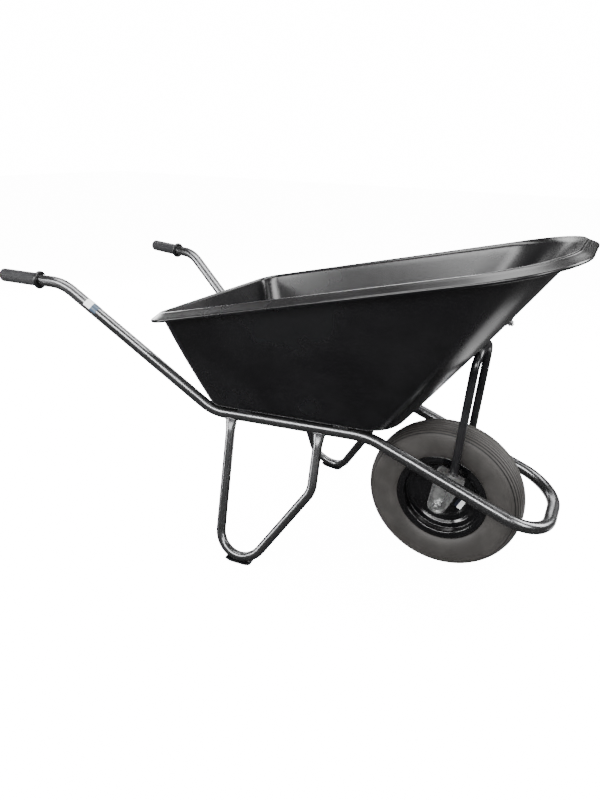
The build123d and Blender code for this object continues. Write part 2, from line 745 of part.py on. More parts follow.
def paired_pieces():
    """Pieces drawn on one side: name, then the side it is drawn on and the piece."""
    return {
        "grip": ("right", grip()),
        "leg": ("right", leg()),
        "foot_plate": ("right", foot_plate()),
        "axle_bracket": ("right", axle_bracket()),
        "rim_half": ("left", rim_half()),
        "bush": ("left", bush()),
    }


def wheelbarrow():
    """Every node by name, still drawn from the axle line."""
    pieces = single_pieces()
    for name, (side, piece) in paired_pieces().items():
        other = "left" if side == "right" else "right"
        pieces[f"{name}_{side}"] = piece
        pieces[f"{name}_{other}"] = mirrored(piece)
    return pieces


os.makedirs("parts", exist_ok=True)
barrow = wheelbarrow()
tip = barrow["grip_right"].bounding_box().min.X
nose = barrow["main_frame_tube"].bounding_box().max.X
for name, piece in barrow.items():
    export_step(Pos(-(tip + nose) / 2, 0, 0) * piece, f"parts/{name}.step")
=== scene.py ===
"""Looks of a builder's wheelbarrow: tube frame, moulded tray, hoop, axle brackets and wheel.

Sizes are in millimetres from the axle line, as the frame is drawn, and become metres in the row
frame when a mesh is made: +X forwards, +Y to the barrow's left, +Z up from the ground.
"""

from __future__ import annotations

import logging
import math
from dataclasses import dataclass, replace
from enum import Enum
from typing import Callable, Sequence

import bmesh
import bpy
from mathutils import Matrix, Vector

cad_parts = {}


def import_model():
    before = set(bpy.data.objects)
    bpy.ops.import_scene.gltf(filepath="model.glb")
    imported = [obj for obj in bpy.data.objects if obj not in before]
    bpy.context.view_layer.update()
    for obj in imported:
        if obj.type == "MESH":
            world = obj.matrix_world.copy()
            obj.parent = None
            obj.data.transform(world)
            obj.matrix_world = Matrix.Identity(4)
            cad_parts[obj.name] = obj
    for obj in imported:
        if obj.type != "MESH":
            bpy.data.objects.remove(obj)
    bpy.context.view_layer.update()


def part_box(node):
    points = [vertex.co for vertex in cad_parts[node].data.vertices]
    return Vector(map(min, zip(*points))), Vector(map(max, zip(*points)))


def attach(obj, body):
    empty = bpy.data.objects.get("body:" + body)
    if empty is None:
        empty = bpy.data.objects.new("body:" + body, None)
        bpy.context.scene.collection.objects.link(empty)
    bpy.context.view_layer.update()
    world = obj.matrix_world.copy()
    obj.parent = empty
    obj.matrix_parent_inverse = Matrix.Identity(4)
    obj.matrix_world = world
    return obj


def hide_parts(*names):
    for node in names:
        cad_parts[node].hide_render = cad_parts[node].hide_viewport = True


LOG = logging.getLogger("wheelbarrow")
MM = 0.001
SHARP = math.radians(40)  # an edge that turns more than this shades sharp
NEAR = 1e-7  # points nearer than this are one, in metres
NODE_NEAR = 2e-6  # the same for a copy of a frame node
Ring = list[Vector]
Colour = tuple[float, float, float]
Flat = tuple[float, float]


class Side(Enum):
    """The barrow's two sides, as the sign of Y."""

    RIGHT = -1
    LEFT = 1

    @property
    def word(self) -> str:
        """The side's name in piece names."""
        return self.name.lower()


class Body(Enum):
    """The rigid bodies of the frame."""

    FRAME = "frame"
    WHEEL = "wheel"


@dataclass
class Ground:
    """Places of the frame that everything is measured from."""

    axle_x: float = 0.0
    axle_z: float = 200.0

    def measure(self) -> None:
        """Reads the axle's place from the frame."""
        low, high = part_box("axle")
        self.axle_x = (low.x + high.x) / 2 / MM
        self.axle_z = (low.z + high.z) / 2 / MM

    def place(self, point: Sequence[float]) -> Vector:
        """Millimetres from the axle line to metres in the row frame."""
        return Vector(((point[0] + self.axle_x) * MM, point[1] * MM, point[2] * MM))

    def about_axle(self) -> Matrix:
        """Places a lathed shape, drawn in millimetres round local Z, on the axle line."""
        turn = Matrix.Rotation(-math.pi / 2, 4, "X")
        return Matrix.Translation(self.place((0, 0, self.axle_z))) @ turn @ Matrix.Scale(MM, 4)


GROUND = Ground()


# ---------------------------------------------------------------- shader helpers
class Nodes:
    """A node tree with short ways to add and link nodes."""

    def __init__(self, tree: bpy.types.NodeTree) -> None:
        """Keeps the tree to build in."""
        self.tree = tree

    def add(
        self, kind: str, inputs: dict[str, object] | None = None, **values: object
    ) -> bpy.types.Node:
        """Adds a node.

        Args:
            kind: the node's type name.
            inputs: values of its own inputs, by name.
            values: attributes to set on it.

        Returns:
            The new node.
        """
        node = self.tree.nodes.new(kind)
        for name, value in values.items():
            setattr(node, name, value)
        for name, value in (inputs or {}).items():
            node.inputs[name].default_value = value
        return node

    def link(self, source: bpy.types.NodeSocket, target: bpy.types.NodeSocket) -> None:
        """Links one socket to another."""
        self.tree.links.new(source, target)

    def wire(self, *links: tuple[bpy.types.Node, str, bpy.types.Node, str]) -> None:
        """Links nodes by their sockets' names.

        Args:
            links: (node, its output, next node, its input) for each link.
        """
        for source, output, target, entry in links:
            self.link(source.outputs[output], target.inputs[entry])

    def math(self, operation: str, *terms: bpy.types.NodeSocket | float) -> bpy.types.NodeSocket:
        """Adds a Math node.

        Args:
            operation: what it does.
            terms: sockets or numbers for its inputs, in order.

        Returns:
            Its result.
        """
        node = self.add("ShaderNodeMath", operation=operation)
        for entry, term in zip(node.inputs, terms):
            if isinstance(term, bpy.types.NodeSocket):
                self.link(term, entry)
            else:
                entry.default_value = term
        return node.outputs[0]

    def ramp(
        self, source: bpy.types.NodeSocket, stops: Sequence[tuple[float, Colour]]
    ) -> bpy.types.NodeSocket:
        """Turns a value into a colour between two stops.

        Args:
            source: the value.
            stops: (position, colour) of the low and the high stop.

        Returns:
            The colour output.
        """
        node = self.add("ShaderNodeValToRGB")
        node.color_ramp.interpolation = "EASE"
        for element, (position, colour) in zip(node.color_ramp.elements, stops):
            element.position = position
            element.color = (*colour, 1)
        self.link(source, node.inputs["Fac"])
        return node.outputs["Color"]

    def spread(
        self, source: bpy.types.NodeSocket, low: float, high: float, start: float, end: float
    ) -> bpy.types.NodeSocket:
        """Maps a value from one range to another.

        Args:
            source: the value.
            low: its lowest number.
            high: its highest number.
            start: what the lowest becomes.
            end: what the highest becomes.

        Returns:
            The mapped value.
        """
        limits = {"From Min": low, "From Max": high, "To Min": start, "To Max": end}
        node = self.add("ShaderNodeMapRange", limits)
        self.link(source, node.inputs["Value"])
        return node.outputs["Result"]


def shader_group(
    name: str, inputs: dict[str, float], outputs: Sequence[str], build: Callable[..., None]
) -> bpy.types.NodeTree:
    """A shader node group, built once and shared.

    Args:
        name: the group's name.
        inputs: value inputs and their defaults.
        outputs: value outputs.
        build: fills the group; takes (nodes, group input node, group output node).

    Returns:
        The group.
    """
    if name in bpy.data.node_groups:
        return bpy.data.node_groups[name]
    tree = bpy.data.node_groups.new(name, "ShaderNodeTree")
    for key, value in inputs.items():
        socket = tree.interface.new_socket(key, in_out="INPUT", socket_type="NodeSocketFloat")
        socket.default_value = value
    for key in outputs:
        tree.interface.new_socket(key, in_out="OUTPUT", socket_type="NodeSocketFloat")
    nodes = Nodes(tree)
    build(nodes, nodes.add("NodeGroupInput"), nodes.add("NodeGroupOutput"))
    return tree


def build_blotches(nodes: Nodes, given: bpy.types.Node, out: bpy.types.Node) -> None:
    """Fills the group of broad soft blotches and fine grain, two values from 0 to 1.

    Args:
        nodes: the group's nodes.
        given: its inputs.
        out: its outputs.
    """
    where = nodes.add("ShaderNodeTexCoord")
    for output, detail in (("Broad", 3.0), ("Fine", 6.0)):
        noise = nodes.add("ShaderNodeTexNoise", {"Detail": detail, "Roughness": 0.6})
        nodes.wire(
            (where, "Object", noise, "Vector"),
            (given, f"{output} Scale", noise, "Scale"),
            (noise, "Fac", out, output),
        )


def build_dust(nodes: Nodes, given: bpy.types.Node, out: bpy.types.Node) -> None:
    """Fills the group of dust that settles, unevenly, where a surface looks up.

    Args:
        nodes: the group's nodes.
        given: its inputs.
        out: its output, from 0 to Amount.
    """
    where = nodes.add("ShaderNodeTexCoord")
    geometry = nodes.add("ShaderNodeNewGeometry")
    split = nodes.add("ShaderNodeSeparateXYZ")
    noise = nodes.add("ShaderNodeTexNoise", {"Detail": 5.0})
    nodes.wire(
        (geometry, "Normal", split, "Vector"),
        (where, "Object", noise, "Vector"),
        (given, "Scale", noise, "Scale"),
    )
    up = nodes.spread(split.outputs["Z"], 0.1, 1.0, 0.0, 1.0)
    broken = nodes.spread(noise.outputs["Fac"], 0.35, 0.7, 0.2, 1.0)
    both = nodes.math("MULTIPLY", up, broken)
    nodes.link(nodes.math("MULTIPLY", both, given.outputs["Amount"]), out.inputs["Mask"])


def build_wear(nodes: Nodes, given: bpy.types.Node, out: bpy.types.Node) -> None:
    """Fills the group of broken wear on convex edges.

    Args:
        nodes: the group's nodes.
        given: its input.
        out: its output, from 0 to Amount.
    """
    where = nodes.add("ShaderNodeTexCoord")
    geometry = nodes.add("ShaderNodeNewGeometry")
    noise = nodes.add("ShaderNodeTexNoise", {"Scale": 90.0, "Detail": 4.0})
    nodes.wire((where, "Object", noise, "Vector"))
    edge = nodes.spread(geometry.outputs["Pointiness"], 0.52, 0.6, 0.0, 1.0)
    broken = nodes.spread(noise.outputs["Fac"], 0.4, 0.6, 0.0, 1.0)
    both = nodes.math("MULTIPLY", edge, broken)
    nodes.link(nodes.math("MULTIPLY", both, given.outputs["Amount"]), out.inputs["Mask"])


def grain_group() -> bpy.types.NodeTree:
    """Blotches and grain shared by every finish."""
    inputs = {"Broad Scale": 8.0, "Fine Scale": 400.0}
    return shader_group("blotches_and_grain", inputs, ("Broad", "Fine"), build_blotches)


def dust_group() -> bpy.types.NodeTree:
    """Settled dust shared by the tray, tyre and frame."""
    return shader_group("settled_dust", {"Scale": 14.0, "Amount": 0.2}, ("Mask",), build_dust)


def wear_group() -> bpy.types.NodeTree:
    """Edge wear shared by the painted and plated steel."""
    return shader_group("edge_wear", {"Amount": 0.5}, ("Mask",), build_wear)


# ---------------------------------------------------------------- finishes
@dataclass(frozen=True)
class Finish:
    """A surface whose colour, gloss and grain vary over it."""

    name: str
    slot: str
    dark: Colour
    light: Colour
    mottle: tuple[float, float] = (0.35, 0.65)
    metallic: float = 0.0
    rough: tuple[float, float] = (0.4, 0.6)
    rough_span: tuple[float, float] = (0.3, 0.7)
    broad: float = 8.0
    fine: float = 400.0
    bump: float = 0.1
    bump_depth: float = 0.0002
    specular: float = 0.5
    coat: float = 0.0
    coat_rough: float = 0.08
    dust: float = 0.0
    dust_colour: Colour = (0.3, 0.28, 0.25)
    wear: float = 0.0
    wear_colour: Colour = (0.4, 0.4, 0.4)

    def material(self) -> bpy.types.Material:
        """Builds the material once.

        Returns:
            The material.
        """
        if self.name in bpy.data.materials:
            return bpy.data.materials[self.name]
        made = bpy.data.materials.new(self.name)
        made.use_nodes = True
        nodes = Nodes(made.node_tree)
        shader = made.node_tree.nodes["Principled BSDF"]
        shader.inputs["Metallic"].default_value = self.metallic
        shader.inputs["Specular IOR Level"].default_value = self.specular
        shader.inputs["Coat Weight"].default_value = self.coat
        shader.inputs["Coat Roughness"].default_value = self.coat_rough
        scales = {"Broad Scale": self.broad, "Fine Scale": self.fine}
        grain = nodes.add("ShaderNodeGroup", scales, node_tree=grain_group())
        colour = self.colour(nodes, grain)
        if self.dust:
            colour = self.laid_over(nodes, colour, dust_group(), self.dust, self.dust_colour)
        if self.wear:
            colour = self.laid_over(nodes, colour, wear_group(), self.wear, self.wear_colour)
        nodes.link(colour, shader.inputs["Base Color"])
        rough = nodes.spread(grain.outputs["Broad"], *self.rough_span, *self.rough)
        nodes.link(rough, shader.inputs["Roughness"])
        relief = {"Strength": self.bump, "Distance": self.bump_depth}
        bump = nodes.add("ShaderNodeBump", relief)
        nodes.link(self.relief(nodes, grain), bump.inputs["Height"])
        nodes.wire((bump, "Normal", shader, "Normal"))
        return made

    def colour(self, nodes: Nodes, grain: bpy.types.Node) -> bpy.types.NodeSocket:
        """The colour before dust and wear."""
        return nodes.ramp(grain.outputs["Broad"], list(zip(self.mottle, (self.dark, self.light))))

    def relief(self, nodes: Nodes, grain: bpy.types.Node) -> bpy.types.NodeSocket:
        """The height that the bump reads."""
        return grain.outputs["Fine"]

    def overlay(
        self, nodes: Nodes, under: bpy.types.NodeSocket, mask: bpy.types.NodeSocket, colour: Colour
    ) -> bpy.types.NodeSocket:
        """Lays a colour over another where the mask is 1.

        Args:
            nodes: the material's nodes.
            under: the colour below.
            mask: where the new colour shows.
            colour: the new colour.

        Returns:
            The mixed colour.
        """
        mix = nodes.add("ShaderNodeMix", data_type="RGBA")
        first, second = [socket for socket in mix.inputs if socket.type == "RGBA"]
        nodes.link(mask, mix.inputs["Factor"])
        nodes.link(under, first)
        second.default_value = (*colour, 1)
        return [socket for socket in mix.outputs if socket.type == "RGBA"][0]

    def laid_over(
        self,
        nodes: Nodes,
        under: bpy.types.NodeSocket,
        effect: bpy.types.NodeTree,
        amount: float,
        colour: Colour,
    ) -> bpy.types.NodeSocket:
        """Lays dust or wear over a colour.

        Args:
            nodes: the material's nodes.
            under: the colour below.
            effect: the effect's group, which puts out a mask.
            amount: how much of it.
            colour: its colour.

        Returns:
            The mixed colour.
        """
        group = nodes.add("ShaderNodeGroup", {"Amount": amount}, node_tree=effect)
        return self.overlay(nodes, under, group.outputs["Mask"], colour)


@dataclass(frozen=True)
class HammeredPaint(Finish):
    """Grey paint that dries in small shallow cells, light on their crowns."""

    cells: float = 430.0
    smoothness: float = 0.6
    crown: float = 0.1
    joint: float = 0.6
    depth_span: float = 0.8

    def pattern(self, nodes: Nodes) -> bpy.types.NodeSocket:
        """Distance from each cell's middle.

        Args:
            nodes: the material's nodes.

        Returns:
            The distance.
        """
        where = nodes.add("ShaderNodeTexCoord")
        sizes = {"Scale": self.cells, "Smoothness": self.smoothness}
        cells = nodes.add("ShaderNodeTexVoronoi", sizes, feature="SMOOTH_F1")
        nodes.wire((where, "Object", cells, "Vector"))
        return cells.outputs["Distance"]

    def colour(self, nodes: Nodes, grain: bpy.types.Node) -> bpy.types.NodeSocket:
        """Lighter on the cells' crowns."""
        return nodes.ramp(self.pattern(nodes), [(self.crown, self.light), (self.joint, self.dark)])

    def relief(self, nodes: Nodes, grain: bpy.types.Node) -> bpy.types.NodeSocket:
        """Cells standing up from their joints."""
        return nodes.spread(self.pattern(nodes), 0.0, self.depth_span, 1.0, 0.0)


@dataclass(frozen=True)
class KnurledRubber(Finish):
    """Rubber moulded with a fine diamond knurl that follows the grip's own UV map."""

    rows: float = 26.0
    lean: float = 45.0

    def relief(self, nodes: Nodes, grain: bpy.types.Node) -> bpy.types.NodeSocket:
        """Two crossing sets of fine ridges.

        Args:
            nodes: the material's nodes.
            grain: the blotches and grain, not used here.

        Returns:
            The height.
        """
        where = nodes.add("ShaderNodeTexCoord")
        turned = []
        for lean in (self.lean, -self.lean):
            turn = {"Rotation": (0, 0, math.radians(lean))}
            mapping = nodes.add("ShaderNodeMapping", turn)
            wave = nodes.add("ShaderNodeTexWave", {"Scale": self.rows})
            nodes.wire((where, "UV", mapping, "Vector"), (mapping, "Vector", wave, "Vector"))
            turned.append(wave.outputs["Fac"])
        return nodes.math("MINIMUM", *turned)


@dataclass(frozen=True)
class RibbedRubber(Finish):
    """Rubber whose grooves, marked by the piece's own attribute, are painted dark as shade."""

    # painted shade: the dark colour laid in the tread's grooves
    groove: Colour = (0.004, 0.004, 0.004)

    def colour(self, nodes: Nodes, grain: bpy.types.Node) -> bpy.types.NodeSocket:
        """Mottled rubber, with painted shade in the grooves.

        Args:
            nodes: the material's nodes.
            grain: the blotches and grain.

        Returns:
            The colour.
        """
        mottled = super().colour(nodes, grain)
        # painted shade in the grooves, where the tyre's groove attribute is 1
        groove_shade = nodes.add("ShaderNodeAttribute", attribute_name="groove")
        return self.overlay(nodes, mottled, groove_shade.outputs["Fac"], self.groove)


@dataclass(frozen=True)
class PressedPlastic(Finish):
    """Moulded polyethylene: fine orange peel and long thin flow streaks."""

    streak_scale: float = 3.0
    streak_stretch: tuple[float, float, float] = (3.0, 3.0, 120.0)
    streak_turn: tuple[float, float, float] = (0.5, 0.3, 0.2)
    streak_share: float = 0.35

    def relief(self, nodes: Nodes, grain: bpy.types.Node) -> bpy.types.NodeSocket:
        """Orange peel with long thin streaks in it.

        Args:
            nodes: the material's nodes.
            grain: the blotches and grain.

        Returns:
            The height.
        """
        where = nodes.add("ShaderNodeTexCoord")
        turn = {"Scale": self.streak_stretch, "Rotation": self.streak_turn}
        mapping = nodes.add("ShaderNodeMapping", turn)
        streak = nodes.add("ShaderNodeTexNoise", {"Scale": self.streak_scale, "Detail": 6.0})
        nodes.wire((where, "Object", mapping, "Vector"), (mapping, "Vector", streak, "Vector"))
        return nodes.math(
            "MULTIPLY_ADD", streak.outputs["Fac"], self.streak_share, grain.outputs["Fine"]
        )


FRAME_PAINT = HammeredPaint(
    "hammered_grey_paint",
    "frame_paint",
    dark=(0.13, 0.131, 0.135),
    light=(0.23, 0.23, 0.235),
    metallic=0.97,
    rough=(0.22, 0.31),
    bump=0.2,
    wear=0.2,
    dust=0.03,
)
HOOP_PAINT = Finish(
    "black_hoop_paint",
    "hoop_paint",
    dark=(0.004, 0.004, 0.005),
    light=(0.009, 0.009, 0.01),
    metallic=0.1,
    rough=(0.22, 0.32),
    fine=300.0,
    bump=0.12,
    wear=0.2,
)
ZINC = Finish(
    "zinc_plate",
    "zinc",
    dark=(0.3, 0.305, 0.305),
    light=(0.52, 0.525, 0.52),
    metallic=0.92,
    rough=(0.22, 0.38),
    broad=45.0,
    fine=700.0,
    bump=0.12,
    wear=0.2,
    wear_colour=(0.75, 0.75, 0.75),
)
TRAY_PLASTIC = PressedPlastic(
    "black_moulded_tray",
    "tray_plastic",
    dark=(0.0018, 0.0018, 0.0022),
    light=(0.0038, 0.0038, 0.0044),
    rough=(0.22, 0.3),
    broad=5.0,
    fine=900.0,
    bump=0.03,
    dust=0.012,
)
GRIP_RUBBER = KnurledRubber(
    "knurled_grip_rubber",
    "grip_rubber",
    dark=(0.008, 0.008, 0.0095),
    light=(0.0135, 0.0135, 0.0155),
    rough=(0.5, 0.62),
    bump=0.6,
    bump_depth=0.0005,
    specular=0.35,
)
COLLAR_RUBBER = Finish(
    "black_collar_rubber",
    "grip_rubber",
    dark=(0.003, 0.003, 0.0035),
    light=(0.006, 0.006, 0.007),
    rough=(0.32, 0.42),
    bump=0.1,
)
TYRE_RUBBER = RibbedRubber(
    "tyre_rubber",
    "tyre",
    dark=(0.023, 0.0212, 0.0198),
    light=(0.033, 0.0306, 0.0286),
    rough=(0.5, 0.62),
    broad=10.0,
    fine=600.0,
    bump=0.2,
    specular=0.4,
    dust=0.03,
)
RIM_PAINT = Finish(
    "gloss_black_rim",
    "rim_paint",
    dark=(0.0015, 0.0015, 0.0018),
    light=(0.003, 0.003, 0.0034),
    rough=(0.14, 0.22),
    fine=180.0,
    bump=0.04,
    coat=0.4,
    dust=0.008,
)
NYLON = Finish(
    "natural_nylon",
    "nylon",
    dark=(0.6, 0.6, 0.56),
    light=(0.72, 0.72, 0.68),
    rough=(0.4, 0.5),
)
PAPER = Finish(
    "paper",
    "tray_plastic",
    dark=(0.72, 0.73, 0.74),
    light=(0.8, 0.8, 0.8),
    rough=(0.3, 0.4),
    bump=0.02,
)
LABEL_WHITE = replace(PAPER, name="label_white")
LABEL_BLUE = replace(
    PAPER, name="label_slate_blue", dark=(0.025, 0.045, 0.075), light=(0.035, 0.06, 0.095)
)
LABEL_NAVY = replace(
    PAPER, name="label_navy", dark=(0.004, 0.006, 0.016), light=(0.006, 0.009, 0.022)
)


# ---------------------------------------------------------------- mesh helpers
def mesh_object(name: str, mesh: bpy.types.Mesh) -> bpy.types.Object:
    """Puts a mesh in the scene at the origin.

    Args:
        name: the object's name.
        mesh: its mesh.

    Returns:
        The object.
    """
    made = bpy.data.objects.new(name, mesh)
    bpy.context.scene.collection.objects.link(made)
    return made


def from_work(name: str, work: bmesh.types.BMesh) -> bpy.types.Object:
    """Puts a bmesh in the scene and frees it.

    Args:
        name: the object's name.
        work: the bmesh.

    Returns:
        The object.
    """
    mesh = bpy.data.meshes.new(name)
    work.to_mesh(mesh)
    work.free()
    return mesh_object(name, mesh)


def dress(
    piece: bpy.types.Object, finish: Finish, body: Body, *nodes: str
) -> bpy.types.Object:
    """Gives a piece its finish and body, and hides the nodes that it stands for.

    Args:
        piece: the finished piece.
        finish: its surface.
        body: the body that it rides on.
        nodes: the frame nodes that it replaces.

    Returns:
        The piece.
    """
    piece.data.materials.clear()
    piece.data.materials.append(finish.material())
    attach(piece, body.value)
    if nodes:
        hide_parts(*nodes)
    LOG.info("%s: %d faces, %s", piece.name, len(piece.data.polygons), finish.name)
    return piece


def skin(
    name: str, rings: Sequence[Ring], closed: bool = False, capped: bool = False
) -> bpy.types.Object:
    """A smooth surface through rings of equally many points, its normals outwards.

    Args:
        name: the piece's name.
        rings: closed rings of points, in metres.
        closed: joins the last ring to the first.
        capped: closes the first and last rings with a face.

    Returns:
        The piece.
    """
    work = bmesh.new()
    rows = [[work.verts.new(point) for point in ring] for ring in rings]
    pairs = list(zip(rows, rows[1:])) + ([(rows[-1], rows[0])] if closed else [])
    count = len(rows[0])
    for low, high in pairs:
        for i in range(count):
            j = (i + 1) % count
            work.faces.new((low[i], low[j], high[j], high[i]))
    if capped:
        work.faces.new(rows[0])
        work.faces.new(list(reversed(rows[-1])))
    bmesh.ops.remove_doubles(work, verts=work.verts, dist=NEAR)
    loose = [edge for edge in work.edges if not edge.link_faces]
    bmesh.ops.delete(work, geom=loose, context="EDGES")
    bmesh.ops.recalc_face_normals(work, faces=work.faces)
    for face in work.faces:
        face.smooth = True
    return from_work(name, work)


def lathe(
    name: str, profile: Sequence[tuple[float, float]], place: Matrix, steps: int = 96
) -> bpy.types.Object:
    """Turns a closed profile of (radius, height) round local Z.

    Args:
        name: the piece's name.
        profile: points of the closed section, in order.
        place: from the section's millimetres to the row frame.
        steps: points round each ring.

    Returns:
        The piece.
    """
    turns = [2 * math.pi * step / steps for step in range(steps)]
    rings = [
        [place @ Vector((r * math.cos(t), r * math.sin(t), height)) for t in turns]
        for r, height in profile
    ]
    return skin(name, rings, closed=True)


def arc(
    centre: Flat, radius: float, start: float, end: float, steps: int = 6
) -> list[Flat]:
    """Points of a circular arc.

    Args:
        centre: its centre.
        radius: its radius.
        start: the angle of its first point, in degrees.
        end: the angle of its last point.
        steps: divisions along it.

    Returns:
        The points.
    """
    turns = [math.radians(start + (end - start) * step / steps) for step in range(steps + 1)]
    return [
        (centre[0] + radius * math.cos(turn), centre[1] + radius * math.sin(turn))
        for turn in turns
    ]


def circle(centre: Vector, first: Vector, second: Vector, radius: float, steps: int) -> Ring:
    """Points round a circle.

    Args:
        centre: its centre.
        first: the arm to its first point.
        second: the arm a quarter turn on.
        radius: the arms' length, as a number of their own.
        steps: how many points.

    Returns:
        The points.
    """
    turns = [2 * math.pi * step / steps for step in range(steps)]
    return [
        centre + first * (radius * math.cos(turn)) + second * (radius * math.sin(turn))
        for turn in turns
    ]


def corner_arc(start: Vector, corner: Vector, end: Vector, half: float, steps: int) -> Ring:
    """Points of the round corner between two straight runs.

    Args:
        start: where the first run ends.
        corner: where the runs would meet.
        end: where the second run starts.
        half: half the angle between the runs.
        steps: divisions along the corner.

    Returns:
        The points.
    """
    weight = math.sin(half)
    points = []
    for step in range(steps + 1):
        u = step / steps
        a, b, c = (1 - u) ** 2, 2 * u * (1 - u) * weight, u * u
        points.append((start * a + corner * b + end * c) / (a + b + c))
    return points


def rounded(
    points: Sequence[Flat], radii: Sequence[float], steps: int = 6, closed: bool = True
) -> list[Flat]:
    """A polyline with its corners rounded.

    Args:
        points: the corners.
        radii: one radius for each corner.
        steps: divisions of each corner's arc.
        closed: also rounds the first and last corners.

    Returns:
        The rounded line's points.
    """
    line = []
    count = len(points)
    for i, (point, radius) in enumerate(zip(points, radii)):
        here = Vector(point)
        if not closed and i in (0, count - 1):
            line.append(tuple(here))
            continue
        back = (Vector(points[i - 1]) - here).normalized()
        ahead = (Vector(points[(i + 1) % count]) - here).normalized()
        half = back.angle(ahead) / 2
        reach = radius / math.tan(half)
        corner = corner_arc(here + back * reach, here, here + ahead * reach, half, steps)
        line += [tuple(spot) for spot in corner]
    return line


def thickened(line: Sequence[Flat], thickness: float) -> list[Flat]:
    """A closed section, even in thickness, along an open line.

    Args:
        line: the points of its middle.
        thickness: how thick it is.

    Returns:
        The section's points, up one side and back down the other.
    """
    left, right = [], []
    for i, point in enumerate(line):
        before = Vector(line[max(i - 1, 0)])
        after = Vector(line[min(i + 1, len(line) - 1)])
        along = (after - before).normalized()
        across = Vector((-along.y, along.x)) * thickness / 2
        left.append(tuple(Vector(point) + across))
        right.append(tuple(Vector(point) - across))
    return left + right[::-1]


def softened(node: str, name: str, width: float) -> bpy.types.Object:
    """A copy of a frame node with its sharp edges rounded.

    Args:
        node: the frame node.
        name: the new piece's name.
        width: width of the rounding, in millimetres.

    Returns:
        The piece, a plain mesh.
    """
    work = bmesh.new()
    work.from_mesh(bpy.data.objects[node].data)
    bmesh.ops.remove_doubles(work, verts=work.verts, dist=NODE_NEAR)
    flat = math.radians(1.0)
    bmesh.ops.dissolve_limit(
        work, angle_limit=flat, verts=work.verts, edges=work.edges, use_dissolve_boundaries=False
    )
    piece = from_work(name, work)
    bevel = piece.modifiers.new("round", "BEVEL")
    bevel.width = width * MM
    bevel.segments = 2
    bevel.limit_method = "ANGLE"
    bevel.angle_limit = math.radians(35)
    bevel.harden_normals = True
    for face in piece.data.polygons:
        face.use_smooth = True
    piece.data.set_sharp_from_angle(angle=SHARP)
    return baked(piece, name)


def baked(piece: bpy.types.Object, name: str) -> bpy.types.Object:
    """Turns a piece with modifiers into a plain mesh.

    Args:
        piece: the piece, which is removed.
        name: the new piece's name.

    Returns:
        The new piece.
    """
    graph = bpy.context.evaluated_depsgraph_get()
    mesh = bpy.data.meshes.new_from_object(piece.evaluated_get(graph))
    bpy.data.meshes.remove(piece.data)
    mesh.name = name
    return mesh_object(name, mesh)


